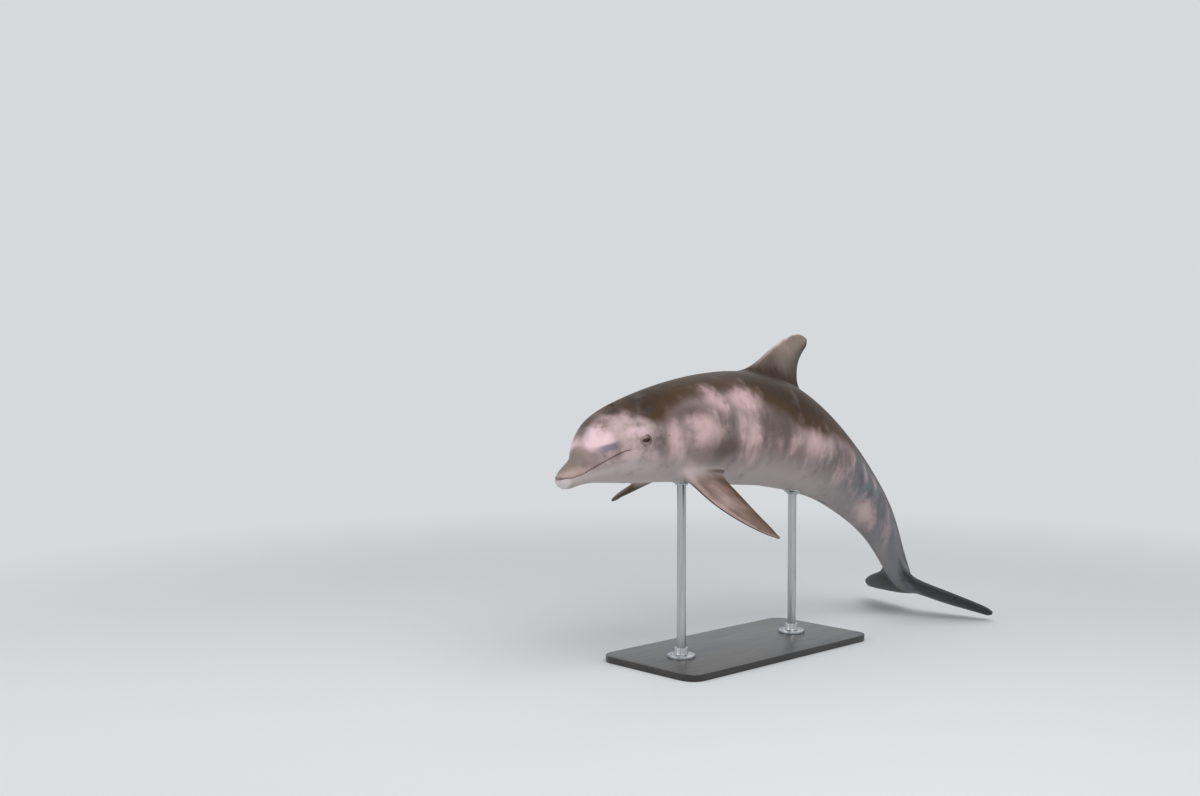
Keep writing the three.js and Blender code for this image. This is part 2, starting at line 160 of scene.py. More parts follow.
# Where the fins grow from the body: from and to along it, and rows of its left side. How far a fin's
# first ring is to the tip: at its leading edge, its trailing edge, and more between.
FLIPPER_ROOT, FLIPPER_ROWS = (480, 702), (16, 18)
FLIPPER_START = {1: (0.225, 0.225, 0), -1: (0.28, 0.28, 0)}
DORSAL_ROOT, DORSAL_ROWS, DORSAL_START = (928, 1274), (-1, 0), (0.175, 0.14, 0.07)
FLUKE_ROOT, FLUKE_ROWS, FLUKE_START = (2052, 2288), (9, 12), (0.22, 0.18, 0)
# Where the rows gather at the flukes' edges.
TAIL_EDGES = (FLUKE_ROOT[0] - 120, FLUKE_ROOT[0] + 20)
TAIL_FILLET = 4           # how much thicker than the flukes the tail is there
TAIL_END = (2150, 2290)   # where the tail's end takes the flukes' level
ROOT_SHARES = (0.1, 0.97)  # least and most share of a fluke's chord where it grows from the tail
RINGS += (even(*FLIPPER_ROOT, 9) + even(FLIPPER_ROOT[1], DORSAL_ROOT[0], 6) + even(*DORSAL_ROOT, 10)
          + even(DORSAL_ROOT[1], FLUKE_ROOT[0], 15) + even(*FLUKE_ROOT, 11) + [FLUKE_ROOT[1]])


def clamp(at, low=0, high=1):
    return min(max(at, low), high)


def through(points):
    """A smooth curve through (at, value) points that never overshoots them."""
    last = len(points) - 1
    steps = [(b[1] - a[1]) / (b[0] - a[0]) for a, b in zip(points, points[1:])]
    slopes = [steps[0]]
    for before, after in zip(steps, steps[1:]):
        slopes.append(0 if before * after <= 0 else 2 * before * after / (before + after))
    slopes.append(steps[-1])

    def value(at):
        at = clamp(at, points[0][0], points[last][0])
        i = 0
        while i < last - 1 and at > points[i + 1][0]:
            i += 1
        width = points[i + 1][0] - points[i][0]
        t = (at - points[i][0]) / width
        return ((1 + 2 * t) * (1 - t) ** 2 * points[i][1] + t * (1 - t) ** 2 * width * slopes[i]
                + t * t * (3 - 2 * t) * points[i + 1][1] + t * t * (t - 1) * width * slopes[i + 1])

    return value


pitch_at = through(BEND)
back_at = through(BACK)
belly_at = through(BELLY)
half_width_at = through(HALF_WIDTH)
round_above = through(ROUND_ABOVE)
round_below = through(ROUND_BELOW)
widest_at = through(WIDEST)
mouth_at = through(MOUTH)
cape_at = through(CAPE)
pale_at = through(PALE)


def smooth_step(at, start, stop):
    share = clamp((at - start) / (stop - start))
    return share * share * (3 - 2 * share)


def tailward_at(along):
    pitch = math.radians(pitch_at(along))
    return Vector((-math.cos(pitch), 0, math.sin(pitch)))


def spine_points(step):
    """Points of the body's axis, a step apart."""
    points = [Vector()]
    for i in range(TOTAL_LENGTH // step):
        points.append(points[-1] + tailward_at(step * (i + 0.5)) * step)
    start = points[SPINE_ORIGIN // step].copy()
    return [point - start for point in points]


SPINE_STEP = 5
SPINE = spine_points(SPINE_STEP)


def axis_at(along):
    """Place, tailward direction and up of the body's axis."""
    inside = clamp(along, 0, TOTAL_LENGTH)
    i = min(int(inside / SPINE_STEP), len(SPINE) - 2)
    tailward = tailward_at(inside)
    place = SPINE[i].lerp(SPINE[i + 1], inside / SPINE_STEP - i) + tailward * (along - inside)
    return place, tailward, Vector((tailward.z, 0, -tailward.x))


def at_height(along, side, height):
    place, _, up = axis_at(along)
    return place + Vector((0, side, 0)) + up * height


def heights_at(along):
    """Heights of the back, the widest line and the belly."""
    top, bottom = back_at(along), belly_at(along)
    return top, bottom + (top - bottom) * widest_at(along), bottom


def power_at(along, above):
    """The power that a section's cosines and sines are raised to, above or below its widest line."""
    return 2 / (round_above(along) if above else round_below(along))


def section(along, angle):
    """Side and height of a section's point; angle 0 is the left side and 90 degrees the back."""
    top, widest, bottom = heights_at(along)
    rise = math.sin(angle)
    power = power_at(along, rise > 0)
    side = math.copysign(abs(math.cos(angle)) ** power, math.cos(angle)) * half_width_at(along)
    reach = top - widest if rise > 0 else widest - bottom
    return side, widest + math.copysign(abs(rise) ** power, rise) * reach


def angle_of_height(along, height):
    top, widest, bottom = heights_at(along)
    above = height > widest
    share = min(abs(height - widest) / (top - widest if above else widest - bottom), 1)
    return math.copysign(math.asin(share ** (1 / power_at(along, above))), height - widest)


def angle_of_side(along, side, upper):
    """The angle at which the back (or the belly) has a distance to the left."""
    share = min(abs(side) / half_width_at(along), 1) ** (1 / power_at(along, upper))
    return math.acos(math.copysign(share, side)) * (1 if upper else -1)


def surface(along, angle):
    return at_height(along, *section(along, angle))


def outward(along, angle):
    """The skin's direction outwards, from its slopes along and around the body."""
    run = surface(along + NEAR, angle) - surface(along - NEAR, angle)
    turn = surface(along, angle + NEAR_TURN) - surface(along, angle - NEAR_TURN)
    return run.cross(turn).normalized()


def left_row(row):
    """The side that a row is on, and the row of the left side that matches it."""
    return (1, row) if row < ROWS else (-1, 2 * ROWS - 1 - row)


def row_angle(along, row):
    """The angle of a row of the cage, which follows the mouth along the head."""
    top_row, belly_row = (-0.5, math.pi / 2), (ROWS - 0.5, -math.pi / 2)
    even_step = math.pi / ROWS
    mouth = min(angle_of_height(along, mouth_at(along)), HIGHEST_MOUTH)
    free = math.pi / 2 - (MOUTH_ROW + 0.5) * even_step
    mouth += (free - mouth) * smooth_step(along, LEAVING_MOUTH, FREE_OF_MOUTH)
    radius = (half_width_at(along) + 0.5 * (back_at(along) - belly_at(along))) / 2
    spread = smooth_step(along, MOUTH_CORNER, FREE_OF_MOUTH)
    gap = min(LIP_GAP / radius, (math.pi / 2 - mouth) * LIP_SHARE) * (1 - spread) + even_step * spread
    wide = gap * (LIP_SPREAD[0] + (LIP_SPREAD[1] - LIP_SPREAD[0]) * spread)
    lips = [(MOUTH_ROW - 2, mouth + wide), (MOUTH_ROW - 1, mouth + gap), (MOUTH_ROW, mouth),
            (MOUTH_ROW + 1, mouth - gap), (MOUTH_ROW + 2, mouth - wide)]
    angle = row_between([top_row, *lips, belly_row], row)
    tail = smooth_step(along, *TAIL_EDGES)
    if tail:
        half = 0.5 * FLUKE["thickness"][0][1] * foil(root_chord(along)) + TAIL_FILLET
        edge = angle_of_height(along, half)
        edges = [(FLUKE_ROWS[0], edge), (FLUKE_ROWS[1], -edge)]
        angle = row_between([top_row, *edges, belly_row], row) * tail + angle * (1 - tail)
    return angle


def root_chord(along):
    """Share of the fluke's chord that a ring of the tail stands for."""
    return clamp((along - FLUKE_ROOT[0]) / (FLUKE_ROOT[1] - FLUKE_ROOT[0]), *ROOT_SHARES) ** CHORD_EASE


def row_between(anchors, row):
    """A row's angle, evenly spaced between the (row, angle) anchors on either side of it."""
    for (r0, a0), (r1, a1) in zip(anchors, anchors[1:]):
        if row <= r1:
            return a0 + (a1 - a0) * (row - r0) / (r1 - r0)
    raise ValueError(f"no row {row}")


# ---- fins -------------------------------------------------------------------------------------------

def bezier(points, t):
    a, b, c, d = (Vector(p) for p in points)
    return a * (1 - t) ** 3 + b * (3 * t * (1 - t) ** 2) + c * (3 * t * t * (1 - t)) + d * t ** 3


def foil(chord):
    """Thickness of a fin's section, from the rounded leading edge to the thin trailing edge."""
    return min(FOIL_NOSE * math.sqrt(chord) * (1 - chord) ** FOIL_TAPER, 1)


def dorsal_setting():
    """Where a fin starts, the ways back along its chord and out to its tip, its bow and its flex."""
    _, tailward, up = axis_at(DORSAL["along"])
    origin = at_height(DORSAL["along"], 0, back_at(DORSAL["along"]))
    out = Matrix.Rotation(math.radians(DORSAL["lean"]), 3, tailward) @ up
    return origin, tailward, out, 0, 0


def flipper_setting(side):
    lie = FLIPPER_SET[side]
    along, height = FLIPPER["along"], FLIPPER["height"]
    _, tailward, up = axis_at(along)
    reach = section(along, angle_of_height(along, height))[0]
    origin = at_height(along, side * reach, height)
    drop, sweep = math.radians(lie["drop"]), math.radians(lie["sweep"])
    out = Vector((0, side * math.cos(drop), 0)) - up * math.sin(drop)
    out = out * math.cos(sweep) + tailward * math.sin(sweep)
    back = (tailward - out * tailward.dot(out)).normalized()
    back = Matrix.Rotation(math.radians(lie["twist"] * side), 3, out) @ back
    return origin, back, out, -lie["bow"] * side, 0


def fluke_setting(side):
    place, _, _ = axis_at(FLUKE["along"])
    _, tailward, _ = axis_at(TOTAL_LENGTH)
    left = Vector((0, 1, 0))
    back = Matrix.Rotation(math.radians(-FLUKE["droop"]), 3, left) @ tailward
    out = Matrix.Rotation(math.radians(-FLUKE["roll"]), 3, back) @ left
    over = out.cross(back)
    turn = Matrix.Rotation(math.radians(FLUKE["turn"]), 3, over)
    return (place - over * FLUKE["sag"], turn @ back, (turn @ out) * side, FLUKE["sag"] * side,
            FLUKE["flex"][side])


def fin_point(fin, setting, share, chord, flank):
    """A point of a fin: share of the way to its tip, of its chord, and of its half thickness."""
    origin, back, out, bow, flex = setting
    flat = out.cross(back).normalized()
    front, rear = bezier(fin["lead"], share), bezier(fin["trail"], share)
    rounding = math.sqrt(1 - max((share - ROUND_FROM) / (1 - ROUND_FROM), 0) ** 2)
    across = (chord - 0.5) * rounding
    spot = front.lerp(rear, 0.5 + across)
    half = 0.5 * through(fin["thickness"])(share) * foil(max(chord, FIN_NOSE)) + FIN_EDGE
    lift = bow * max(spot.y / fin["lead"][3][1], 0) ** 2 + flex * across * share ** 2
    return origin + back * spot.x + out * spot.y + flat * (flank * half + lift)


# ---- the cage's tools -------------------------------------------------------------------------------

class Cage:
    """A bmesh whose points know their ring, their row, their marks and if they are held in place."""

    def __init__(self):
        self.bm = bmesh.new()
        ints, floats = self.bm.verts.layers.int, self.bm.verts.layers.float
        self.row, self.ring = ints.new("row"), ints.new("ring")
        self.turn, self.held = floats.new("turn"), ints.new("held")
        self.marks = {name: floats.new(name) for name in MARKS}
        self.roots = set()

    def mark(self, vert, **values):
        for name, value in values.items():
            vert[self.marks[name]] = value

    def mark_body(self, vert, along, height):
        self.mark(vert, along=along, height=height, side=vert.co.y, cape=height - cape_at(along),
                  below=pale_at(along) - height)

    def extruded(self, faces):
        """Extrudes faces and gives their new copies, with the new points."""
        made = bmesh.ops.extrude_face_region(self.bm, geom=faces)["geom"]
        bmesh.ops.delete(self.bm, geom=faces, context="FACES")
        return ([g for g in made if isinstance(g, bmesh.types.BMFace)],
                [g for g in made if isinstance(g, bmesh.types.BMVert)])

    def patch(self, rings, rows):
        """The faces between two rings and two rows, which may run over the back or the belly."""
        first, last = rings
        wanted = {row % (2 * ROWS) for row in range(rows[0], rows[1] + 1)}
        ok = [v[self.row] in wanted and first <= v[self.ring] <= last for v in self.bm.verts]
        self.bm.verts.index_update()
        return [f for f in self.bm.faces if all(ok[v.index] for v in f.verts)]

    def body(self):
        """One ring extruded from the beak's tip to the tail's end, closed from side to side at both."""
        bm = self.bm
        rings = TIP_RINGS + [(along, 0, 1) for along in RINGS]
        ring = bmesh.ops.create_circle(bm, segments=2 * ROWS, radius=1)["verts"]
        for number, vert in enumerate(ring):
            vert[self.row] = number
        edges = bm.edges[:]
        for number, (along, lean, size) in enumerate(rings):
            if number:
                made = bmesh.ops.extrude_edge_only(bm, edges=edges)["geom"]
                ring = {g for g in made if isinstance(g, bmesh.types.BMVert)}
                edges = [g for g in made if isinstance(g, bmesh.types.BMEdge) and ring.issuperset(g.verts)]
            for vert in ring:
                vert[self.ring] = number
                self.place(vert, along, lean, size)
            if number in (0, len(rings) - 1):
                sides = [e for e in edges if len({v[self.row] < ROWS for v in e.verts}) == 1]
                bmesh.ops.bridge_loops(bm, edges=sides)
        bmesh.ops.recalc_face_normals(bm, faces=bm.faces)

    def place(self, vert, along, lean, size):
        """Puts a point of a ring on the body's surface; the tip's rings lean and are smaller."""
        side, row = left_row(vert[self.row])
        top, bottom = back_at(along), belly_at(along)
        angle = row_angle(along, row)
        height = section(along, angle)[1]
        along += lean * ((height - bottom) / (top - bottom) - 0.5)
        across, height = section(along, row_angle(along, row))
        middle = mouth_at(along) if size < 1 else 0
        across, height = across * size, middle + (height - middle) * size
        vert.co = at_height(along, side * across, height)
        end = smooth_step(along, *TAIL_END)
        if end:
            origin, back, *_ = fluke_setting(1)
            level = origin + back * (along - FLUKE["along"])
            vert.co += (level - axis_at(along)[0]) * end
        self.mark_body(vert, along, height)

    def fin(self, fin, setting, name, root, rows, shares, over):
        """Draws a patch of the skin out into a fin, ring by ring; over is 1 where row 0 is on top."""
        rings = tuple(map(ring_of, root))
        faces = self.patch(rings, rows)
        self.roots.update(v for f in faces for v in f.verts)
        count, across = rings[1] - rings[0], rows[1] - rows[0]
        for vert in {v for f in faces for v in f.verts}:
            row = (vert[self.row] - rows[0]) % (2 * ROWS)
            flank = 1 - 2 * row / across
            chord = max(((vert[self.ring] - rings[0]) / count) ** CHORD_EASE, FIN_NOSE * flank * flank)
            self.mark(vert, chord=chord, flank=flank, upper=flank * over)
        for number, (lead, trail, arch) in enumerate(shares):
            faces, verts = self.extruded(faces)
            for vert in verts:
                chord, flank = vert[self.marks["chord"]], vert[self.marks["flank"]]
                share = lead + (trail - lead) * chord + 4 * arch * chord * (1 - chord)
                vert.co = fin_point(fin, setting, share, chord, flank)
                self.mark(vert, **{name: (number + 1) / len(shares)})
            if not number:
                self.roots.update(verts)
        self.roots = {v for v in self.roots if v.is_valid}

    def sink(self, stretch, rows, start, place, count, phase=0):
        """Turns a patch into rings of points, each put where place(turn, number) says.

        The first point is the one nearest start, and phase turns it on by a share of a point.
        """
        faces = self.patch(tuple(map(ring_of, stretch)), rows)
        face = bmesh.ops.dissolve_faces(self.bm, faces=faces, use_verts=True)["region"][0]
        verts = list(face.verts)
        first = min(range(len(verts)), key=lambda i: (verts[i].co - start).length)
        for i, vert in enumerate(verts[first:] + verts[:first]):
            vert[self.turn] = math.tau * (i + phase) / len(verts)
        for number in range(count):
            faces, verts = self.extruded([face])
            face = faces[0]
            for vert in verts:
                vert.co, along, height, hollow = place(vert[self.turn], number)
                vert[self.held] = 1
                self.mark_body(vert, along, height)
                self.mark(vert, hollow=hollow)

    def settle(self, rounds=4):
        """Moves the cage out until its smooth surface passes through the points it has now."""
        verts = [v for v in self.bm.verts if not v[self.held]]
        wanted = {v: v.co.copy() for v in verts}
        for _ in range(rounds):
            moves = {v: wanted[v] - smooth_place(v) for v in verts}
            for vert, move in moves.items():
                vert.co += move

    def soften_roots(self, rounds=3):
        """Fairs the skin where the fins grow from it."""
        near = {e.other_vert(v) for v in self.roots for e in v.link_edges}
        wide = [v for v in self.roots | near if not v[self.held]]
        for _ in range(rounds):
            bmesh.ops.smooth_vert(self.bm, verts=wide, factor=0.5, use_axis_x=True, use_axis_y=True,
                                  use_axis_z=True)


def smooth_place(vert):
    """Where a fully subdivided surface has this point of its cage."""
    n = len(vert.link_edges)
    total = vert.co * n * n
    for edge in vert.link_edges:
        total += edge.other_vert(vert).co * 4
    for loop in vert.link_loops:
        centre = loop.face.calc_center_median()
        before, after = loop.link_loop_prev.vert.co, loop.link_loop_next.vert.co
        total += centre * 4 - vert.co - before - after
    return total / (n * (n + 5))


def placed():
    """Where the stand's middle at the body's level is, and the body's own place."""
    low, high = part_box("stand_base")
    middle = (low + high) / 2
    stand = Vector((middle.x - STAND["centre"] * MM, middle.y, low.z + STAND["below"] * MM))
    lean = Vector((0, BELLY_LINE * math.sin(BANK), BELLY_LINE * (1 - math.cos(BANK))))
    return stand, Matrix.Translation(stand + lean * MM) @ Matrix.Rotation(BANK, 4, "X")


STAND_PLACE, BODY_PLACE = placed()


def ring_of(along):
    """The number of the ring nearest a distance from the beak's tip."""
    return len(TIP_RINGS) + min(range(len(RINGS)), key=lambda i: abs(RINGS[i] - along))


# ---- openings in the skin ---------------------------------------------------------------------------

def eye_centre():
    """Centre of the left eyeball."""
    along, height = EYE["along"], EYE["height"]
    return at_height(along, section(along, angle_of_height(along, height))[0] - EYE["sunk"], height)


def over_eyeball(spot, clear):
    """The place on the eyeball under a place on the skin, raised by a clearance."""
    way = spot - eye_centre()
    length = Vector((way.x, way.y, way.z / EYE["squash"])).length
    return eye_centre() + way * ((EYE["radius"] + clear) / length)


# Rings round the eye: half length, half height above and below, lift at the corners and in the middle,
# and how dark they are painted, as shade in the eye's hollow. A ring with None at its corners lies over the
# eyeball, lifted all round alike.
LIDS = [(38, 33, 32, 0, 0, 0), (30, 27, 26, 0.2, 0.2, 0), (26, 23, 22, -1.5, -1.4, 0),
        (23.4, 20, 19, 0.9, 1.7, 0), (20.4, 15.6, 14.6, 2.2, 4.9, 0), (17.6, 10.6, 9.4, None, 3.9, 0),
        (15.6, 7.2, 6, None, 2.2, 0), (14.2, 5, 4, None, 2.7, 0), (13, 3.3, 2.7, None, 2, 0.5),
        (12.6, 2.9, 2.4, None, 0.7, 1), (13.6, 6.5, 6.5, None, 0.3, 1), (18.5, 16, 16, -12.5, -12.5, 1),
        (10, 9, 9, -31, -31, 1)]


def eye_rings(side):
    """Places for the eyelids' rings."""
    tilt = Matrix.Rotation(math.radians(EYE["tilt"]), 2)

    def place(turn, number):
        turn *= -side
        length, above, below, corner, middle, hollow = LIDS[number]
        u, w = tilt @ Vector((length * math.cos(turn),
                              (above if math.sin(turn) > 0 else below) * math.sin(turn)))
        along, height = EYE["along"] - u, EYE["height"] + w
        angle = angle_of_height(along, height)
        spot = surface(along, angle)
        if corner is None:
            spot = over_eyeball(spot, middle)
        else:
            spot += outward(along, angle) * (corner + (middle - corner) * math.sin(turn) ** 2)
        spot.y *= side
        return spot, along, height, hollow
    return place


# Rings of an opening: half length along the body, half width, and lift over the skin.
BLOWHOLE = [(20, 25, 0), (13, 21.5, 1.0), (8.5, 19.5, 1.6), (5, 18.2, 0.6), (3.2, 17.4, -1.8),
            (3.6, 16.5, -7), (2.4, 11, -9)]
EAR = [(9, 9, 0), (4.4, 4.4, 0.3), (1.9, 1.9, -0.4), (1.3, 1.3, -3.2)]
NAVEL = [(22, 12, 0), (15, 6, -0.2), (9, 2.6, -1.8), (5, 1, -2.6)]
GENITAL_SLIT = [(62, 15, 0), (54, 7.5, 1.2), (48, 3.4, 0.4), (45, 1.5, -2.2), (38, 1.2, -6)]
VENT = [(16, 12, 0), (9.5, 7.5, 1.4), (5.4, 4.6, 0.9), (3, 2.6, -1.6), (2, 1.6, -5)]
DARK_DEPTH = 2.5          # an opening's painted shade is full this far in
EYE_ROW = 10              # the cage's row through the eye and the ear
EYE_STRETCH, EYE_ROWS = (261, 372), (7, 12)
EAR_STRETCH, EAR_ALONG = (390, 432), 411

# The openings on the midline: the stretch of the cage they take, their middle, if they are on the
# back, how far their sides bend towards the nose, and their rings.
MIDLINE = [((276, 329), 302, True, 9, BLOWHOLE), ((1066, 1136), 1101, False, 0, NAVEL),
           ((1430, 1585), 1507, False, 0, GENITAL_SLIT), ((1637, 1689), 1663, False, 0, VENT)]


def darkness(lift):
    """How dark an opening's ring is painted, as shade that deepens with depth."""
    return clamp(-lift / DARK_DEPTH)


def midline_rings(at, upper, bend, rings):
    """Places for an opening's rings on the back or belly."""
    def place(turn, number):
        length, width, lift = rings[number]
        side = width * math.sin(turn) * (1 if upper else -1)
        along = at - length * math.cos(turn) - bend * (side / rings[0][1]) ** 2
        angle = angle_of_side(along, side, upper)
        spot = surface(along, angle) + outward(along, angle) * lift
        return spot, along, section(along, angle)[1], darkness(lift)
    return place


def flank_rings(side, at, level, rings):
    """Places for an opening's rings on the side of the body."""
    def place(turn, number):
        length, width, lift = rings[number]
        along = at - length * math.cos(turn)
        height = level - side * width * math.sin(turn)
        angle = angle_of_height(along, height)
        spot = surface(along, angle) + outward(along, angle) * lift
        spot.y *= side
        return spot, along, height, darkness(lift)
    return place


def front_of(along, row):
    """The place of a row's point, for the start of an opening's rings."""
    side, row = left_row(row)
    spot = surface(along, row_angle(along, row))
    spot.y *= side
    return spot


def carve_mouth(cage):
    """Presses the mouth's line in and raises the lips beside it."""
    cage.bm.normal_update()
    along_mark = cage.marks["along"]
    for vert in cage.bm.verts:
        side, row = left_row(vert[cage.row])
        below = row - MOUTH_ROW
        if below in MOUTH_RELIEF and not vert[cage.held]:
            share = 1 - smooth_step(vert[along_mark], *MOUTH_FADE)
            inner = vert.co.y * side * NEAREST_SHARE
            vert.co += vert.normal * (MOUTH_RELIEF[below] * share)
            vert.co.y = side * max(vert.co.y * side, inner)
            if below == 0:
                cage.mark(vert, mouth=share)


def ring_shares(lead, trail, arch):
    """How far each ring of a fin is to its tip: at its front, at its rear, and how much more between."""
    eased = [1 - (1 - i / (FIN_RINGS - 1)) ** TOWARD_TIP for i in range(FIN_RINGS)]
    return [(lead + (FIN_END - lead) * e, trail + (FIN_END - trail) * e, arch * (1 - e)) for e in eased]


def mirrored(rows, side):
    """A side's rows that match these rows of the left side."""
    return rows if side > 0 else (2 * ROWS - 1 - rows[1], 2 * ROWS - 1 - rows[0])


def open_skin(cage):
    """Sinks the eyes, ears, blowhole, navel, slit and vent into the skin."""
    ear_level = section(EAR_ALONG, row_angle(EAR_ALONG, EYE_ROW))[1]
    for side in (1, -1):
        row = mirrored((EYE_ROW, EYE_ROW), side)[0]
        cage.sink(EYE_STRETCH, mirrored(EYE_ROWS, side), front_of(EYE_STRETCH[0], row), eye_rings(side),
                  len(LIDS), 0.5 * side)
        cage.sink(EAR_STRETCH, mirrored((EYE_ROW - 1, EYE_ROW + 1), side), front_of(EAR_STRETCH[0], row),
                  flank_rings(side, EAR_ALONG, ear_level, EAR), len(EAR))
    for stretch, at, upper, bend, rings in MIDLINE:
        row = 0 if upper else ROWS
        cage.sink(stretch, (row - 2, row + 1), front_of(stretch[0], row),
                  midline_rings(at, upper, bend, rings), len(rings), 0.5)


def make_skin():
    """The whole animal's skin as one closed mesh, but for the eyes."""
    cage = Cage()
    cage.body()
    for side in (1, -1):
        cage.fin(FLIPPER, flipper_setting(side), "flipper", FLIPPER_ROOT, mirrored(FLIPPER_ROWS, side),
                 ring_shares(*FLIPPER_START[side]), side)
    cage.fin(DORSAL, dorsal_setting(), "dorsal", DORSAL_ROOT, DORSAL_ROWS, ring_shares(*DORSAL_START), 1)
    for side in (1, -1):
        cage.fin(FLUKE, fluke_setting(side), "fluke", FLUKE_ROOT, mirrored(FLUKE_ROWS, side),
                 ring_shares(*FLUKE_START), side)
    open_skin(cage)
    cage.settle()
    cage.soften_roots()
    carve_mouth(cage)
    cage.bm.transform(BODY_PLACE @ Matrix.Scale(MM, 4))
    return cage.bm


# ---- from meshes to pieces --------------------------------------------------------------------------

CRISP = math.radians(32)  # edges that turn more than this are crisp
SAME_PLACE = 1e-4         # points nearer than this are one


def piece(name, bm, look, replaces, body="root"):
    """An object made from a finished bmesh, tied to the frame."""
    mesh = bpy.data.meshes.new(name)
    bm.to_mesh(mesh)
    bm.free()
    for polygon in mesh.polygons:
        polygon.use_smooth = True
    mesh.materials.append(look.material)
    made = bpy.data.objects.new(name, mesh)
    bpy.context.scene.collection.objects.link(made)
    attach(made, body)
    if replaces:
        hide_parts(*replaces)
    return made


def crease_by_angle(made):
    """Keeps the sharper edges of a smooth-shaded piece crisp."""
    made.data.set_sharp_from_angle(angle=CRISP)


def lathe(profile, sides=64):
    """A closed turned shape about Z, from (radius, height) points that start and end on the axis."""
    bm = bmesh.new()
    verts = [bm.verts.new((radius, 0, height)) for radius, height in profile]
    edges = [bm.edges.new(pair) for pair in zip(verts, verts[1:])]
    bmesh.ops.spin(bm, geom=verts + edges, cent=(0, 0, 0), axis=(0, 0, 1), angle=math.tau, steps=sides,
                   use_merge=True)
    bmesh.ops.remove_doubles(bm, verts=bm.verts, dist=SAME_PLACE)
    bmesh.ops.recalc_face_normals(bm, faces=bm.faces)
    return bm


def joined(shapes):
    """One bmesh that holds several."""
    whole = bmesh.new()
    for shape in shapes:
        mesh = bpy.data.meshes.new("part")
        shape.to_mesh(mesh)
        shape.free()
        whole.from_mesh(mesh)
        bpy.data.meshes.remove(mesh)
    return whole


# ---- node trees -------------------------------------------------------------------------------------

class Value:
    """A number on a node's socket; arithmetic on it adds Math nodes."""

    def __init__(self, nodes, socket):
        self.nodes, self.socket = nodes, socket

    def __add__(self, other):
        return self.nodes.maths("ADD", self, other)

    def __sub__(self, other):
        return self.nodes.maths("SUBTRACT", self, other)

    def __rsub__(self, other):
        return self.nodes.maths("SUBTRACT", other, self)

    def __mul__(self, other):
        return self.nodes.maths("MULTIPLY", self, other)

    def __truediv__(self, other):
        return self.nodes.maths("DIVIDE", self, other)

    def __rtruediv__(self, other):
        return self.nodes.maths("DIVIDE", other, self)

    def __pow__(self, other):
        return self.nodes.maths("POWER", self, other)

    def __rpow__(self, other):
        return self.nodes.maths("POWER", other, self)

    def __abs__(self):
        return self.nodes.maths("ABSOLUTE", self)

    __radd__ = __add__
    __rmul__ = __mul__

    def step(self, start, stop):
        """0 on start's side and 1 on stop's, with a soft change between them."""
        return self.nodes.value("ShaderNodeMapRange", {"interpolation_type": "SMOOTHSTEP"},
                                {"Value": self, "From Min": start, "From Max": stop})


class Nodes:
    """A node tree, grown one node at a time."""

    def __init__(self, tree):
        self.tree = tree

    def feed(self, socket, value):
        """Links a socket to what it reads, or sets it."""
        if isinstance(value, Value):
            value = value.socket
        if isinstance(value, bpy.types.NodeSocket):
            self.tree.links.new(value, socket)
        elif socket.type == "RGBA" and len(value) == 3:
            socket.default_value = (*value, 1)
        else:
            socket.default_value = value

    def node(self, kind, settings=None, inputs=None):
        """A node of a type, with its settings, then its sockets' values or links."""
        node = self.tree.nodes.new(kind)
        for name, value in (settings or {}).items():
            setattr(node, name, value)
        for name, value in (inputs or {}).items():
            self.feed(node.inputs[name], value)
        return node

    def value(self, kind, settings=None, inputs=None, output=0):
        return Value(self, self.node(kind, settings, inputs).outputs[output])

    def maths(self, operation, *terms):
        return self.value("ShaderNodeMath", {"operation": operation}, dict(enumerate(terms)))

    def blend(self, share, under, over):
        """A colour between two others."""
        mix = self.node("ShaderNodeMix", {"data_type": "RGBA", "clamp_factor": True},
                        {0: share, 6: under, 7: over})
        return mix.outputs[2]

    def layers(self, under, *layers):
        """A colour with others blended over it in turn, each with its share."""
        for share, over in layers:
            under = self.blend(share, under, over)
        return under

    def stretched(self, place, scale, centre=(0, 0, 0)):
        """Coordinates from a centre, scaled along each axis."""
        moved = self.node("ShaderNodeMapping", {"vector_type": "TEXTURE"},
                          {"Vector": place, "Location": centre, "Scale": tuple(1 / s for s in scale)})
        return moved.outputs[0]

    def noise(self, place, scale, detail=2, roughness=0.5):
        """Noise about zero, from -0.5 to 0.5."""
        return self.value("ShaderNodeTexNoise", None, {"Vector": place, "Scale": scale, "Detail": detail,
                                                       "Roughness": roughness}) - 0.5

    def axes(self, place):
        """The three numbers of a vector."""
        parts = self.node("ShaderNodeSeparateXYZ", None, {"Vector": place})
        return tuple(Value(self, output) for output in parts.outputs)


class Look(Nodes):
    """A material with one Principled shader."""

    def __init__(self, name, **constants):
        self.material = bpy.data.materials.new(name)
        self.material.use_nodes = True
        super().__init__(self.material.node_tree)
        self.shader = self.tree.nodes["Principled BSDF"]
        self.place = self.node("ShaderNodeTexCoord").outputs["Object"]
        for name, value in constants.items():
            self.set(name.replace("_", " "), value)

    def set(self, name, value):
        self.feed(self.shader.inputs[name], value)

    def mark(self, name):
        """A number that the mesh carries over its surface."""
        return self.value("ShaderNodeAttribute", {"attribute_name": name}, None, "Fac")

    def relief(self, *layers):
        """Bumps, each a height from 0 to 1 and its depth in metres."""
        normal = None
        for height, depth in layers:
            inputs = {"Height": height, "Distance": depth, "Strength": 1}
            if normal:
                inputs["Normal"] = normal
            normal = self.node("ShaderNodeBump", None, inputs).outputs[0]
        self.set("Normal", normal)


# ---- the skin's look --------------------------------------------------------------------------------

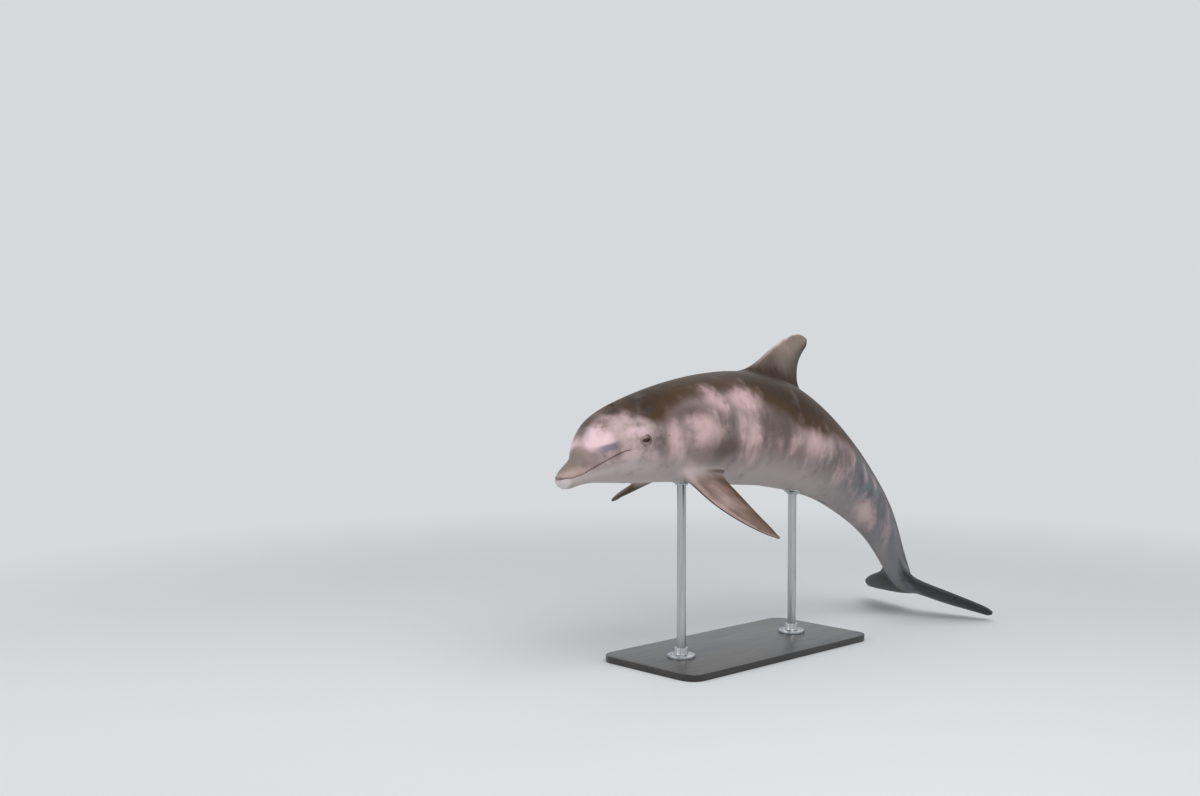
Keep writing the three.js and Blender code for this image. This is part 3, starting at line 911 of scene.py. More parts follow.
# Places on the head, as (distance from the beak's tip, height), and half sizes of what is there.
MELON_PALE = (160, 42, 48, 50)
OVER_EYE = (284, 36, 50, 26)
CHEEK = (262, -36, 62, 22)
EYE_PATCH = (EYE["along"], EYE["height"], 23, 20)
EYE_SLIT = (EYE["along"] - 1, EYE["height"], 16.5, 5.2)
EAR_STREAK = (362, -2, 26, 12)
BEAK_SPOT = (12, -55, 8, 6)
JAW_SPOT = (9, -80, 4.5, 3)
JAW_TIP = (14, -80, 34, 22)
BRIDLE_HEIGHT = 0
RIDGE_SPACING = 7
# Painted shade: darker places on the neck's side, behind the flipper, below the dorsal fin, and on the
# tail's side.
PAINTED_SHADE_SPOTS = [(520, 66, 76, 30), (668, -66, 64, 40), (930, 14, 120, 84), (1410, 16, 130, 72)]
# Painted light: paler spots, two before the dorsal fin, on the neck's side, two on the flank, and below the
# tail.
PAINTED_LIGHT_SPOTS = [(790, 112, 84, 66), (650, 124, 52, 54), (560, 4, 92, 60), (806, -30, 46, 96),
          (1170, -18, 84, 66), (1704, -70, 96, 46)]


class Skin(Look):
    """The skin's material, with its marks, its noise and the colour painted so far."""

    def __init__(self, settings):
        super().__init__("dolphin_skin", Coat_Weight=settings.wetness, Coat_Roughness=0.22)
        self.set("Specular IOR Level", 0.12)
        self.marks = {name: self.mark(name) for name in MARKS if name != "flank"}
        self.broad = self.noise(self.place, 3.1, 3)
        self.mottle = self.noise(self.place, 17, 5, 0.6)
        self.streak = self.noise(self.stretched(self.place, (11, 9, 3.4)), 1, 3)
        self.colour = settings.flank

    def paint(self, *layers):
        """Blends colours over what has been painted so far."""
        self.colour = self.layers(self.colour, *layers)

    def from_spot(self, where, wobble=0):
        """How far a point is from a spot's middle: 1 is its edge."""
        along, height, length, width = where
        across = (self.marks["along"] - along) / length
        up = (self.marks["height"] - height) / width
        return (across * across + up * up) ** 0.5 + wobble


def paint_body(skin, colours):
    """Flanks, tail, belly and the dark cape, with painted shade spots and painted light spots on the
    flanks.
    """
    broad, mottle, streak = skin.broad, skin.mottle, skin.streak
    along = skin.marks["along"]
    patches = (streak + mottle * 0.5 + broad * 0.4).step(-0.08, 0.24) * along.step(2150, 1700)
    skin.paint(((along + broad * 300).step(1080, 1640), colours.tail),
               (patches * 0.8, colours.flank_pale),
               ((mottle * 0.5 - streak * 0.9).step(0, 0.24) * 0.6, colours.flank_dark))
    # The painted shade's colour: brownish in front, greyer towards the tail.
    shade = skin.blend(along.step(1100, 1300), colours.shade, colours.flank_dark)
    for where in PAINTED_SHADE_SPOTS:
        near = skin.from_spot(where, mottle * 0.9 + streak * 1.4).step(1.2, 0.2)
        skin.paint((near * 0.72, shade))
    under = skin.blend(along.step(1250, 1900) * 0.6, colours.belly, colours.tail)
    soft = 14 + along.step(150, 470) * 40
    skin.paint((((skin.marks["below"] + broad * 60 + mottle * 24) / soft).step(-1, 1), under))
    cape = skin.blend(along.step(1350, 1950) * 0.7, colours.cape, colours.flank_dark)
    edge = skin.marks["cape"] + broad * 70 + mottle * 46 + streak * 90
    worn = (streak * 0.7 + mottle).step(0.12, 0.34) * edge.step(120, 20) * 0.22
    skin.paint((edge.step(-38, 26) * 0.98, cape),
               ((edge + mottle * 60).step(16, 84) * 0.94, colours.spine),
               (worn, colours.flank))
    # Painted light spots on the flanks, in the flank's pale colour.
    for where in PAINTED_LIGHT_SPOTS:
        near = skin.from_spot(where, mottle * 1.2 + streak * 2.2).step(1.2, 0.1)
        skin.paint((near * 0.7, colours.flank_pale))


def paint_head(skin, colours):
    """Melon, beak, jaw and bridle."""
    broad, mottle, marks = skin.broad, skin.mottle, skin.marks
    along, height, below = marks["along"], marks["height"], marks["below"]
    face = along.step(420, 300) * below.step(10, -8) * marks["cape"].step(20, -26)
    skin.paint((face * (mottle + broad * 0.5).step(0.24, -0.14) * 0.75, colours.cheek),
               ((along + mottle * 26).step(172, 128) * below.step(4, -12), colours.brow),
               (skin.from_spot(MELON_PALE, mottle * 0.8).step(1.2, 0.5), colours.melon),
               (skin.from_spot(OVER_EYE, mottle * 1.1).step(1.2, 0.3) * 0.7, colours.melon))
    crest = abs(marks["side"] + 22 + mottle * 44 + broad * 40).step(66, 14)
    crest = crest * (height + mottle * 30).step(24, 62) * along.step(112, 132) * along.step(250, 200)
    beak = along.step(136, 104) * below.step(1, -5)
    skin.paint((crest * 0.84, colours.shade),
               (beak, colours.beak_side),
               (beak * (height + mottle * 16).step(-48, -26), colours.beak),
               (skin.from_spot(CHEEK, mottle * 0.5).step(1.1, 0.4) * 0.6, colours.cheek))
    bridle = abs(height - BRIDLE_HEIGHT - (along - 130) * 0.09 + mottle * 24).step(17, 5)
    bridle = bridle * along.step(124, 170) * (along + mottle * 40).step(232, 196)
    jaw_tip = skin.from_spot(JAW_TIP, mottle * 0.4).step(1.1, 0.5) * below.step(0, 4)
    skin.paint((bridle * 0.8, colours.bridle),
               (jaw_tip * 0.7, colours.jaw_tip),
               (skin.from_spot(BEAK_SPOT, mottle * 0.5).step(1.2, 0.2) * 0.42, colours.painted_shade_and_dark_tips),
               (skin.from_spot(JAW_SPOT, mottle * 0.5).step(1.2, 0.2) * 0.3, colours.painted_shade_and_dark_tips),
               (skin.from_spot(EAR_STREAK, mottle * 0.6).step(1.1, 0.3) * 0.45, colours.eye_patch))


def paint_openings(skin, colours):
    """The eyes' dark patch, the painted highlight arcs round them and the painted shade in their slits, and
    painted shade in the mouth's line and every opening.
    """
    mottle, marks = skin.mottle, skin.marks
    eye = skin.from_spot(EYE_PATCH)
    behind = (marks["along"] - EYE["along"] + (marks["height"] - EYE["height"]) * 0.2).step(-6, 12)
    # Painted highlight: pale arcs along the rim of the eye's mound, mostly behind the eye.
    painted_rim_highlight = abs(eye - 1.06 + mottle * 0.05).step(0.1, 0.02)
    skin.paint(((eye + mottle * 0.3).step(1.25, 0.75) * (behind * 0.5 + 0.35), colours.eye_patch),
               (painted_rim_highlight * (behind * 0.6), colours.eye_ring),
               # Painted shade in the eye's slit, the mouth's line and the hollows of the openings.
               (skin.from_spot(EYE_SLIT, mottle * 0.2).step(1.25, 0.8) * 0.85, colours.painted_shade_and_dark_tips),
               (marks["mouth"].step(0.6, 1), colours.painted_shade_and_dark_tips),
               (marks["hollow"].step(0.05, 0.7), colours.painted_shade_and_dark_tips))


def paint_dorsal(skin, colours):
    """Dorsal fin: beige-grey with a painted highlight along its front and painted light on its upper part,
    and a darker rear.
    """
    mottle, streak = skin.mottle, skin.streak
    rise, chord = skin.marks["dorsal"], skin.marks["chord"] + mottle * 0.2
    # The paler layers are painted light on the upper part and a painted highlight along the leading edge.
    fin = skin.layers(colours.dorsal,
                      (chord.step(0.5, 0.95), colours.dorsal_rear),
                      ((streak + mottle * 0.5).step(0, 0.16) * rise.step(0.3, 0.6) * 0.7,
                       colours.dorsal_painted_light),
                      (chord.step(0.12, 0.02), colours.dorsal_painted_light),
                      (chord.step(0.72, 1) * rise.step(0.6, 0.85) * 0.85, colours.fluke))
    skin.paint(((rise + mottle * 0.3 + streak * 0.3).step(0.02, 0.42), fin))


def paint_flippers(skin, colours):
    """Flippers, darker behind and at their tips, with painted shade below and all over the right one."""
    mottle, streak, marks = skin.mottle, skin.streak, skin.marks
    reach, upper, chord = marks["flipper"], marks["upper"], marks["chord"] + mottle * 0.2
    # Painted shade: right darkens the right flipper all over, and under the undersides of both.
    right, under = marks["side"].step(-40, -90), upper.step(0.5, -0.3)
    fin = skin.layers(colours.flipper,
                      ((chord + reach * 0.3).step(0.5, 1.1), colours.flipper_rear),
                      ((reach + mottle * 0.4).step(0.72, 1.04) * chord.step(0.1, 0.6), colours.fluke),
                      ((streak + mottle * 0.25).step(-0.12, 0.3) * reach.step(0.9, 0.4) * 0.45,
                       colours.flank_pale),
                      (chord.step(0.13, 0.03) * 0.3, colours.flank_pale),
                      (right * 0.85, colours.flipper_rear),
                      (under * 0.96, colours.flipper_rear),
                      (under * (reach + mottle).step(-0.1, 0.5) * 0.9, colours.fluke))
    # Painted shade in the crease round each flipper's root, on its upper side.
    painted_root_crease_shade = abs(reach - 0.05).step(0.045, 0.01) * chord.step(0.3, 0.8)
    skin.paint(((reach * (right + 1) + mottle * 0.12).step(0, 0.2), fin),
               (painted_root_crease_shade * upper.step(-0.4, 0.4) * 0.7, colours.cape))


def paint_flukes(skin, colours):
    """Dark flukes, their near-black partly painted shade, a little paler below and at their leading edges.
    """
    broad, mottle, marks = skin.broad, skin.mottle, skin.marks
    fin = skin.layers(colours.fluke,
                      (marks["upper"].step(0.2, -0.6) * 0.25, colours.tail),
                      ((mottle + skin.streak).step(0.05, 0.3) * 0.2, colours.flipper_rear),
                      ((marks["chord"] + mottle * 0.2).step(0.07, 0.015) * 0.3, colours.tail))
    skin.paint(((marks["fluke"] + mottle * 0.3 + broad * 0.2).step(-0.02, 0.2), fin))


def skin_relief(skin, fleck):
    """Shallow dents, ridges across the flanks, creases round the eyes, flecks and pores."""
    broad, mottle, marks = skin.broad, skin.mottle, skin.marks
    along, eye = marks["along"], skin.from_spot(EYE_PATCH)
    ridges = skin.maths("SINE", along * (math.tau / RIDGE_SPACING) + mottle * 16)
    ridges = ridges * (broad + mottle).step(0, 0.2)
    ridges = ridges * along.step(330, 420) * along.step(2000, 1500) * marks["below"].step(20, -40)
    ridges = ridges * (marks["dorsal"] + marks["flipper"] + marks["fluke"]).step(0.12, 0)
    creases = skin.maths("SINE", eye * 30 + mottle * 9) * abs(eye - 0.8).step(0.5, 0.1)
    skin.relief((skin.noise(skin.place, 24, 2), 0.0011), (ridges, 0.00016),
                (creases * mottle.step(-0.1, 0.1), 0.00018), (fleck, 0.00025),
                (skin.noise(skin.place, 900, 2), 0.00009))


def skin_look(settings):
    """Wet, satin skin with its markings."""
    skin = Skin(settings)
    for paint in (paint_body, paint_head, paint_openings, paint_dorsal, paint_flippers, paint_flukes):
        paint(skin, settings)
    fleck = skin.noise(skin.place, 260, 3, 0.65)
    skin.paint((fleck.step(0.1, 0.4) * 0.07, settings.belly),
               (fleck.step(-0.08, -0.36) * 0.16, settings.spine))
    skin.set("Base Color", skin.colour)
    skin.set("Roughness", settings.roughness + skin.mottle * 0.16 + fleck * 0.08)
    skin_relief(skin, fleck)
    return skin


# ---- eyes -------------------------------------------------------------------------------------------

PUPIL = (24, 7)           # squares of its half length and its half height, in millimetres


def eye_look(name, settings, centre):
    """A dark wet eye: brown iris with darker rim, oval pupil and a brownish white."""
    look = Look(name, Roughness=0.15, Coat_Weight=0.2, Coat_Roughness=0.02)
    look.set("Specular IOR Level", 0.1)
    x, _, z = look.axes(look.stretched(look.place, (1000, 1000, 1000), centre))
    radius = (x * x + z * z) ** 0.5 / (settings.iris / MM)
    threads = look.noise(look.stretched(look.place, (500, 500, 1600), centre), 1, 4, 0.7)
    oval = (x * x / PUPIL[0] + z * z / PUPIL[1]) ** 0.5
    look.set("Base Color", look.layers(
        settings.white,
        (radius.step(1.02, 0.94), settings.iris_edge),
        (radius.step(0.97, 0.8), settings.iris_colour),
        (threads.step(0.02, 0.3) * radius.step(0.95, 0.7) * 0.5, settings.white),
        (oval.step(1.1, 0.9), settings.pupil)))
    look.relief((threads, 0.00003))
    return look


def make_eye(side, settings):
    """An eyeball, a little flattened, with the cornea's bulge."""
    bm = bmesh.new()
    bmesh.ops.create_uvsphere(bm, u_segments=64, v_segments=48, radius=EYE["radius"])
    bmesh.ops.rotate(bm, verts=bm.verts, cent=(0, 0, 0), matrix=Matrix.Rotation(math.pi / 2, 3, "X"))
    bmesh.ops.scale(bm, verts=bm.verts, vec=(1, 1, EYE["squash"]))
    for vert in bm.verts:
        aside = math.hypot(vert.co.x, vert.co.z) / (settings.iris / MM)
        if vert.co.y * side > 0 and aside < 1:
            vert.co.y += side * settings.cornea / MM * (1 - aside * aside) ** 2
    centre = eye_centre()
    centre.y *= side
    bmesh.ops.translate(bm, verts=bm.verts, vec=centre)
    bm.transform(BODY_PLACE @ Matrix.Scale(MM, 4))
    name = "left" if side > 0 else "right"
    look = eye_look(f"{name}_eye", settings, BODY_PLACE @ (centre * MM))
    piece(f"eyeball_{name}", bm, look, [f"eye_{name}"])


# ---- stand ------------------------------------------------------------------------------------------

def board_look(settings):
    """Black-stained wood under satin lacquer, its grain along the board."""
    look = Look("stained_wood", Coat_Weight=0.35, Coat_Roughness=0.25)
    fibre = look.noise(look.stretched(look.place, (5, 130, 130)), 1, 4, 0.6)
    figure = look.noise(look.stretched(look.place, (0.9, 9, 9)), 1, 3)
    colour = look.blend((figure * 0.8 + fibre).step(-0.18, 0.22), settings.board, settings.grain)
    look.set("Base Color", colour)
    look.set("Roughness", 0.4 - fibre * 0.2)
    look.relief((fibre, 0.00012))
    return look


def steel_look(settings):
    """Stainless steel, brushed along its length."""
    look = Look("brushed_steel", Metallic=1)
    brush = look.noise(look.stretched(look.place, (700, 700, 9)), 1, 3, 0.6)
    look.set("Base Color", look.blend(brush.step(-0.2, 0.25), settings.steel_dark, settings.steel))
    look.set("Roughness", 0.3 - brush * 0.16)
    look.relief((brush, 0.00002))
    return look


LEVEL = 1e-6              # an edge that rises less than this is level
SQUARE = 1                # an edge that turns more than this, in radians, is a rim


def edge_rise(edge):
    """Difference in height between an edge's ends."""
    return abs(edge.verts[0].co.z - edge.verts[1].co.z)


def make_board(settings):
    """The flat base, with round corners and softened edges."""
    low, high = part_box("stand_base")
    bm = bmesh.new()
    bmesh.ops.create_cube(bm, size=1)
    bmesh.ops.scale(bm, verts=bm.verts, vec=high - low)
    bmesh.ops.translate(bm, verts=bm.verts, vec=(low + high) / 2)
    half_height = 0.5 * (high.z - low.z)
    upright = [e for e in bm.edges if edge_rise(e) > half_height]
    bmesh.ops.bevel(bm, geom=upright, offset=settings.corner, affect="EDGES", segments=16, profile=0.5,
                    material=-1)
    rims = [e for e in bm.edges if edge_rise(e) < LEVEL and e.calc_face_angle(0) > SQUARE]
    bmesh.ops.bevel(bm, geom=rims, offset=settings.edge, affect="EDGES", segments=4, profile=0.5,
                    material=-1)
    made = piece("stand_board", bm, board_look(settings), ["stand_base"])
    crease_by_angle(made)


# Outlines of the turned pieces, in millimetres: (radius, height).
SOCKET = 2.5              # radius of a screw's socket at its corners
SCREW_HEAD = [(0, -1), (4.8, -1), (4.8, 1.3), (4.3, 2.1), (3.4, 2.5), (SOCKET, 2.5), (SOCKET, 0.8),
              (0, 0.8)]
SCREWS = 4
SCREW_CIRCLE = 37.5       # radius of the circle that the screws stand on
SCREW_TURN = 0.4          # how much further each screw is turned than the last, in radians
FLANGE_TOP, NECK = 10, 24
COLLAR = [(0, -14), (31, -14), (31, 0.8), (30.6, 1.8), (29.6, 2.6), (27, 3.4), (24, 5), (22, 7.2),
          (21.2, 9.4), (20.4, 10.6), (18.8, 11), (0, 11)]


def foot_outline(radius, tall):
    """Outline of a foot: a flange with a rounded rim, and a neck with a lip round the rod."""
    rim = [(radius - 0.6, 0), (radius, 0.6), (radius, 7), (radius - 0.9, 9.1), (radius - 3, FLANGE_TOP)]
    neck = [(29, FLANGE_TOP), (25.6, 11.2), (NECK, 14), (NECK, tall - 2.6), (23.2, tall - 0.7),
            (21.4, tall), (16.9, tall), (16.3, tall - 0.8)]
    return [(0, 0), *rim, *neck, (0, tall - 0.8)]


def screw():
    """A low round-headed screw with a six-sided socket."""
    bm = lathe(SCREW_HEAD, 24)
    for vert in bm.verts:
        if abs(math.hypot(vert.co.x, vert.co.y) - SOCKET) < 0.01:
            turn = math.atan2(vert.co.y, vert.co.x) % (math.pi / 3) - math.pi / 6
            vert.co.xy *= math.cos(math.pi / 6) / math.cos(turn)
    return bm


def make_foot(end, look):
    """A turned flange with a neck, held down by its screws."""
    low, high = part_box(f"stand_flange_{end}")
    parts = [lathe(foot_outline((high.x - low.x) / 2 / MM, (high.z - low.z) / MM))]
    for i in range(SCREWS):
        head = screw()
        place = Matrix.Translation((SCREW_CIRCLE, 0, FLANGE_TOP)) @ Matrix.Rotation(SCREW_TURN * i, 4, "Z")
        head.transform(Matrix.Rotation(math.tau * (i + 0.5) / SCREWS, 4, "Z") @ place)
        parts.append(head)
    bm = joined(parts)
    centre = (low + high) / 2
    bm.transform(Matrix.Translation((centre.x, centre.y, low.z)) @ Matrix.Scale(MM, 4))
    made = piece(f"stand_foot_{end}", bm, look, [f"stand_flange_{end}"])
    crease_by_angle(made)


NECK_LAP = 0.001          # how far a rod's end is inside its foot's neck
ROD_STRETCH = (300, 2000)  # the stretch of belly that a rod may meet
HALVINGS = 40


def belly_over(x):
    """The belly's point over a place on the stand, and the skin's direction there."""
    near, far = ROD_STRETCH
    for _ in range(HALVINGS):
        middle = (near + far) / 2
        if (BODY_PLACE @ (at_height(middle, 0, belly_at(middle)) * MM)).x > x:
            near = middle
        else:
            far = middle
    touch = BODY_PLACE @ (at_height(near, 0, belly_at(near)) * MM)
    return touch, (BODY_PLACE.to_3x3() @ outward(near, -math.pi / 2)).normalized()


def make_post(end, steel, settings):
    """A rod from its foot into the belly, and the collar that lies against the belly round it."""
    low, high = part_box(f"stand_rod_{end}")
    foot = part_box(f"stand_flange_{end}")[1].z
    centre = (low + high) / 2
    radius = (high.x - low.x) / 2
    touch, out = belly_over(centre.x)
    meets = touch.z + ((touch.x - centre.x) * out.x + (touch.y - centre.y) * out.y) / out.z
    bm = lathe([(0, foot - NECK_LAP), (radius, foot - NECK_LAP), (radius, meets + settings.seat),
                (0, meets + settings.seat)])
    bmesh.ops.translate(bm, verts=bm.verts, vec=(centre.x, centre.y, 0))
    made = piece(f"stand_post_{end}", bm, steel, [f"stand_rod_{end}"])
    crease_by_angle(made)
    collar = lathe(COLLAR)
    turned = out.to_track_quat("Z", "Y").to_matrix().to_4x4()
    collar.transform(Matrix.Translation((centre.x, centre.y, meets)) @ turned @ Matrix.Scale(MM, 4))
    made = piece(f"stand_collar_{end}", collar, steel, [])
    crease_by_angle(made)


# ---- stage ------------------------------------------------------------------------------------------

def make_floor(settings):
    """A wide pale floor that turns into the backdrop's colour far out."""
    bm = bmesh.new()
    bmesh.ops.create_circle(bm, cap_ends=True, cap_tris=True, segments=96, radius=settings.floor_radius)
    mesh = bpy.data.meshes.new("floor")
    bm.to_mesh(mesh)
    bm.free()
    floor = bpy.data.objects.new("floor", mesh)
    bpy.context.scene.collection.objects.link(floor)
    look = Look("floor_paper", Roughness=0.9)
    look.set("Specular IOR Level", 0.1)
    tooth = look.noise(look.place, 40, 3)
    look.set("Base Color", look.blend(tooth.step(-0.3, 0.3) * 0.04, settings.floor, settings.backdrop))
    x, y, _ = look.axes(look.place)
    far = ((x * x + y * y) ** 0.5).step(settings.fade_from, settings.fade_to)
    glow = look.node("ShaderNodeEmission", None, {"Color": settings.backdrop, "Strength": 1})
    mixed = look.node("ShaderNodeMixShader", None, {0: far, 1: look.shader.outputs[0], 2: glow.outputs[0]})
    look.feed(look.tree.nodes["Material Output"].inputs["Surface"], mixed.outputs[0])
    mesh.materials.append(look.material)


def make_sky(settings):
    """An even soft light from all round, seen as the plain backdrop."""
    world = bpy.data.worlds.new("studio")
    bpy.context.scene.world = world
    world.use_nodes = True
    nodes = Nodes(world.node_tree)
    light = nodes.node("ShaderNodeBackground", None, {"Color": settings.sky,
                                                      "Strength": settings.sky_strength})
    plain = nodes.node("ShaderNodeBackground", None, {"Color": settings.backdrop, "Strength": 1})
    rays = nodes.node("ShaderNodeLightPath").outputs
    camera, glossy, through_glass = (Value(nodes, rays[name]) for name in
                                     ("Is Camera Ray", "Is Glossy Ray", "Is Transmission Ray"))
    seen = nodes.maths("MAXIMUM", nodes.maths("MAXIMUM", camera, glossy), through_glass)
    mixed = nodes.node("ShaderNodeMixShader", None, {0: seen, 1: light.outputs[0], 2: plain.outputs[0]})
    nodes.feed(nodes.tree.nodes["World Output"].inputs["Surface"], mixed.outputs[0])


# Soft lamps: place and size in metres about the animal's middle, and share of the lamps' power.
LAMPS = {"key": ((0.9, 2.3, 3.1), 3.2, 1), "fill": ((3.6, -1.2, 1.6), 2.6, 0.34),
         "rim": ((-3.0, -1.6, 2.4), 2.4, 0.12)}


def make_lamps(settings):
    for name, (place, size, share) in LAMPS.items():
        lamp = bpy.data.lights.new(name, "AREA")
        lamp.energy, lamp.size = settings.lamp_power * share, size
        holder = bpy.data.objects.new(name, lamp)
        holder.location = STAND_PLACE + Vector(place)
        holder.rotation_euler = (-Vector(place)).to_track_quat("-Z", "Y").to_euler()
        bpy.context.scene.collection.objects.link(holder)


def make_camera(settings):
    camera = bpy.data.cameras.new("camera")
    camera.sensor_width = 36
    camera.lens = settings.lens
    holder = bpy.data.objects.new("camera", camera)
    holder.location = STAND_PLACE + Vector(settings.camera_place)
    holder.rotation_euler = Euler((math.pi / 2 - settings.camera_dip, 0, settings.camera_turn))
    bpy.context.scene.collection.objects.link(holder)
    bpy.context.scene.camera = holder


# ---- settings ---------------------------------------------------------------------------------------

def linear_light(value):
    """How bright a screen's value from 0 to 255 is, from 0 to 1."""
    shown = value / 255
    return shown / 12.92 if shown <= 0.04045 else ((shown + 0.055) / 1.055) ** 2.4


def colour_of(name, description, *values):
    return FloatVectorProperty(name=name, description=description, subtype="COLOR", size=3, min=0, max=1,
                               default=tuple(linear_light(value) for value in values))


def length_of(name, description, default):
    return FloatProperty(name=name, description=description, default=default, min=0, unit="LENGTH")


def share_of(name, description, default):
    return FloatProperty(name=name, description=description, default=default, min=0, max=1,
                         subtype="FACTOR")


class SkinSettings(bpy.types.PropertyGroup):
    """Colours and finish of the skin."""
    flank: colour_of("Flank", "Grey-beige sides", 134, 118, 114)
    # Also the colour of the painted light spots on the flanks.
    flank_pale: colour_of("Pale flank", "Pinkish patches on the sides", 224, 191, 190)
    # Painted shade on the flanks; also the colour of the dark crest over the melon.
    shade: colour_of("Shade", "Brownish grey places on the sides", 88, 74, 66)
    flank_dark: colour_of("Dark flank", "Greyer patches on the sides", 88, 82, 85)
    tail: colour_of("Tail", "Cooler grey of the tail's sides", 112, 116, 121)
    belly: colour_of("Belly", "Pale underside", 186, 174, 172)
    cape: colour_of("Cape", "Brown upper body", 70, 48, 27)
    spine: colour_of("Spine", "Darkest brown along the back", 54, 36, 18)
    cheek: colour_of("Cheek", "Side of the face", 204, 178, 178)
    brow: colour_of("Brow", "Front of the forehead", 150, 131, 131)
    melon: colour_of("Melon", "Palest part of the forehead's side", 232, 202, 208)
    bridle: colour_of("Bridle", "Slate stripe across the side of the forehead", 98, 97, 110)
    beak: colour_of("Beak", "Top of the beak", 132, 117, 110)
    beak_side: colour_of("Beak side", "Side of the beak, above the mouth", 178, 154, 147)
    jaw_tip: colour_of("Jaw tip", "Whitish tip of the lower jaw", 226, 214, 216)
    eye_patch: colour_of("Eye patch", "Dark skin round the eye", 92, 76, 70)
    # Painted highlight on the rim of the eye's mound.
    eye_ring: colour_of("Eye ring", "Pale arcs round the eye", 206, 184, 184)
    # Painted shade in the mouth's line, the eyes' slits and the openings; also the dark spots at the beak's
    # and jaw's tips.
    painted_shade_and_dark_tips: colour_of("Lining", "Mouth line, eyelid rims and the insides of openings", 44, 27, 20)
    dorsal: colour_of("Dorsal fin", "Beige-grey of the dorsal fin", 136, 122, 112)
    # Painted light: the highlight along the dorsal fin's front and the light on its upper part.
    dorsal_painted_light: colour_of("Dorsal fin, pale", "Paler front and upper part", 212, 188, 186)
    dorsal_rear: colour_of("Dorsal fin, rear", "Greyer rear part", 88, 84, 71)
    flipper: colour_of("Flipper", "Upper side of the flippers", 118, 97, 85)
    # Also painted shade on the right flipper and on the flippers' undersides.
    flipper_rear: colour_of("Flipper, rear", "Rear and outer part", 82, 62, 42)
    # Near-black partly painted shade, from the flukes' shaded undersides; also the fins' dark tips and
    # painted shade under the flippers.
    fluke: colour_of("Fluke", "Dark flukes and fin tips", 24, 21, 12)
    roughness: share_of("Roughness", "Roughness of the skin", 0.5)
    wetness: share_of("Wetness", "Strength of the thin clear coat", 0.05)
    smoothing: IntProperty(name="Smoothing", description="Subdivisions of the skin", default=2, min=0,
                           max=3)


class EyeSettings(bpy.types.PropertyGroup):
    """Sizes and colours of the eyes."""
    iris: length_of("Iris", "Radius of the iris", 0.0105)
    cornea: length_of("Cornea", "How far the cornea stands out", 0.0009)
    iris_colour: colour_of("Iris", "Brown of the iris", 76, 44, 28)
    iris_edge: colour_of("Iris edge", "Dark ring round the iris", 22, 14, 10)
    white: colour_of("White", "Brownish white of the eye", 96, 60, 46)
    pupil: colour_of("Pupil", "Pupil", 8, 6, 6)


class StandSettings(bpy.types.PropertyGroup):
    """Sizes and colours of the display stand."""
    corner: length_of("Corner", "Radius of the board's corners", 0.060)
    edge: length_of("Edge", "Radius of the board's edges", 0.003)
    seat: length_of("Seat", "How far a rod goes into the belly", 0.010)
    board: colour_of("Board", "Darkest stain", 26, 23, 22)
    grain: colour_of("Grain", "Lighter grain under the stain", 54, 47, 42)
    steel: colour_of("Steel", "Brushed steel", 206, 208, 210)
    steel_dark: colour_of("Steel, dark", "Brush lines", 168, 170, 173)


class StageSettings(bpy.types.PropertyGroup):
    """Floor, backdrop, lamps and camera."""
    floor: colour_of("Floor", "Pale floor", 226, 228, 229)
    backdrop: colour_of("Backdrop", "Plain backdrop", 214, 217, 220)
    sky: colour_of("Sky", "Soft light from all round", 250, 252, 255)
    sky_strength: FloatProperty(name="Sky strength", description="Strength of the even light", default=0.52,
                                min=0)
    lamp_power: FloatProperty(name="Lamp power", description="Power of the key lamp", default=90, min=0,
                              unit="POWER")
    floor_radius: length_of("Floor radius", "Radius of the floor", 60)
    fade_from: length_of("Fade from", "Where the floor starts to turn into the backdrop", 1.5)
    fade_to: length_of("Fade to", "Where the floor has turned into the backdrop", 4.6)
    lens: FloatProperty(name="Lens", description="Focal length in millimetres", default=40.263, min=1)
    camera_place: FloatVectorProperty(name="Camera", description="Camera's place from the animal's middle",
                                      subtype="TRANSLATION", default=(3.6484, 3.2433, 0.2874))
    camera_dip: FloatProperty(name="Dip", description="How far the camera looks down", subtype="ANGLE",
                              default=math.radians(2))
    camera_turn: FloatProperty(name="Turn", description="Camera's turn about the vertical", subtype="ANGLE",
                               default=math.radians(-223.265))


class DolphinSettings(bpy.types.PropertyGroup):
    """Everything that can be changed about the model."""
    skin: PointerProperty(type=SkinSettings)
    eyes: PointerProperty(type=EyeSettings)
    stand: PointerProperty(type=StandSettings)
    stage: PointerProperty(type=StageSettings)


# ---- operators and panel ----------------------------------------------------------------------------

FLESH = ("head", "lower_jaw", "neck", "trunk", "tail_stock", "dorsal_fin", "flipper_left", "flipper_right",
         "fluke_left", "fluke_right")


class MakeStage(bpy.types.Operator):
    """Make the floor, the backdrop, the lamps and the camera"""
    bl_idname = "dolphin.make_stage"
    bl_label = "Stage"

    def execute(self, context):
        settings = context.scene.dolphin.stage
        make_floor(settings)
        make_sky(settings)
        make_lamps(settings)
        make_camera(settings)
        context.scene.view_settings.view_transform = "Standard"
        return {"FINISHED"}


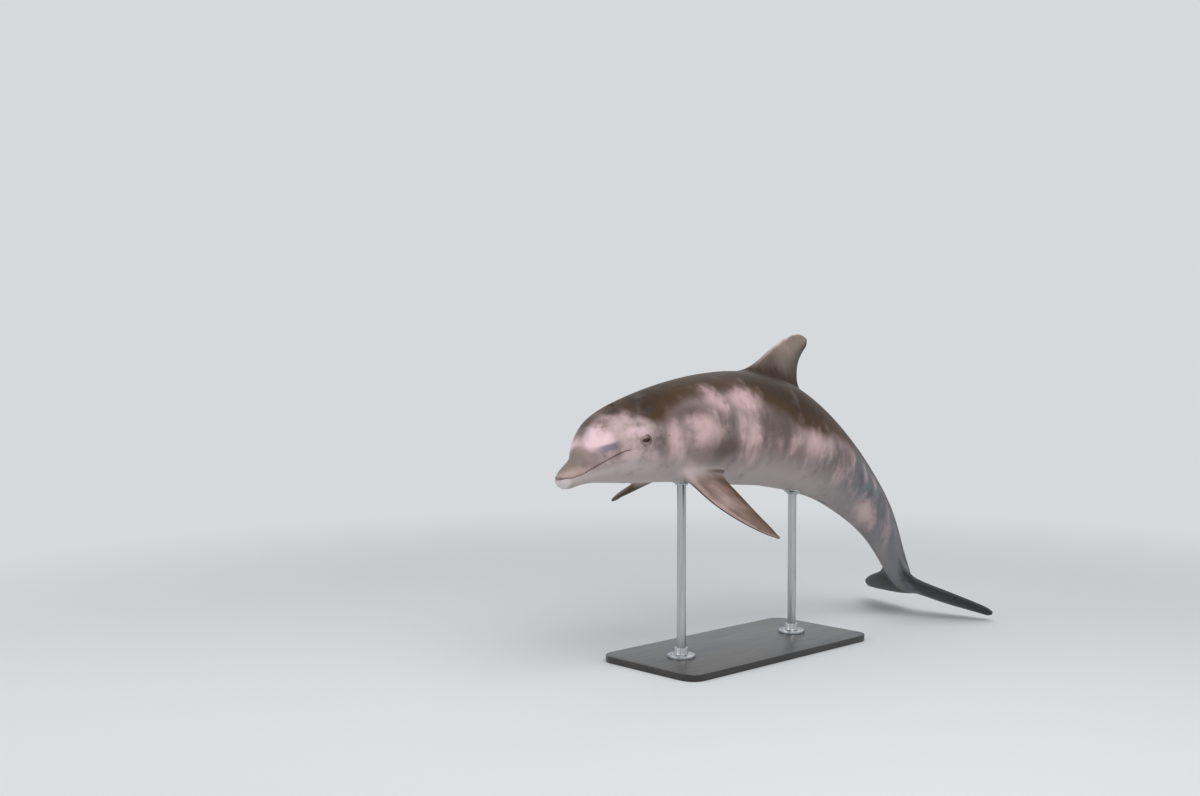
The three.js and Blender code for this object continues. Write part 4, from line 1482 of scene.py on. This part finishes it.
class MakeSkin(bpy.types.Operator):
    """Make the dolphin's skin, from the beak to the flukes"""
    bl_idname = "dolphin.make_skin"
    bl_label = "Skin"

    def execute(self, context):
        settings = context.scene.dolphin.skin
        skin = piece("dolphin_skin", make_skin(), skin_look(settings), FLESH)
        smooth = skin.modifiers.new("smooth", "SUBSURF")
        smooth.levels = smooth.render_levels = settings.smoothing
        return {"FINISHED"}


class MakeEyes(bpy.types.Operator):
    """Make the two eyeballs"""
    bl_idname = "dolphin.make_eyes"
    bl_label = "Eyes"

    def execute(self, context):
        for side in (1, -1):
            make_eye(side, context.scene.dolphin.eyes)
        return {"FINISHED"}


class MakeStand(bpy.types.Operator):
    """Make the board, the feet, the rods and their collars"""
    bl_idname = "dolphin.make_stand"
    bl_label = "Stand"

    def execute(self, context):
        settings = context.scene.dolphin.stand
        steel = steel_look(settings)
        make_board(settings)
        for end in ("front", "rear"):
            make_foot(end, steel)
            make_post(end, steel, settings)
        return {"FINISHED"}


class DolphinPanel(bpy.types.Panel):
    """Settings and operators, in the 3D view's sidebar"""
    bl_idname = "VIEW3D_PT_dolphin"
    bl_label = "Dolphin"
    bl_space_type = "VIEW_3D"
    bl_region_type = "UI"
    bl_category = "Dolphin"

    def draw(self, context):
        groups = context.scene.dolphin
        for operator, group in ((MakeSkin, groups.skin), (MakeEyes, groups.eyes), (MakeStand, groups.stand),
                                (MakeStage, groups.stage)):
            box = self.layout.box()
            for name in group.__annotations__:
                box.prop(group, name)
            box.operator(operator.bl_idname)


CLASSES = (SkinSettings, EyeSettings, StandSettings, StageSettings, DolphinSettings, MakeStage, MakeSkin,
           MakeEyes, MakeStand, DolphinPanel)


def register():
    for made in CLASSES:
        bpy.utils.register_class(made)
    bpy.types.Scene.dolphin = PointerProperty(type=DolphinSettings)


def unregister():
    del bpy.types.Scene.dolphin
    for made in reversed(CLASSES):
        bpy.utils.unregister_class(made)


def main():
    register()
    bpy.ops.dolphin.make_stage()
    bpy.ops.dolphin.make_skin()
    bpy.ops.dolphin.make_eyes()
    bpy.ops.dolphin.make_stand()


if __name__ == "__main__":
    main()
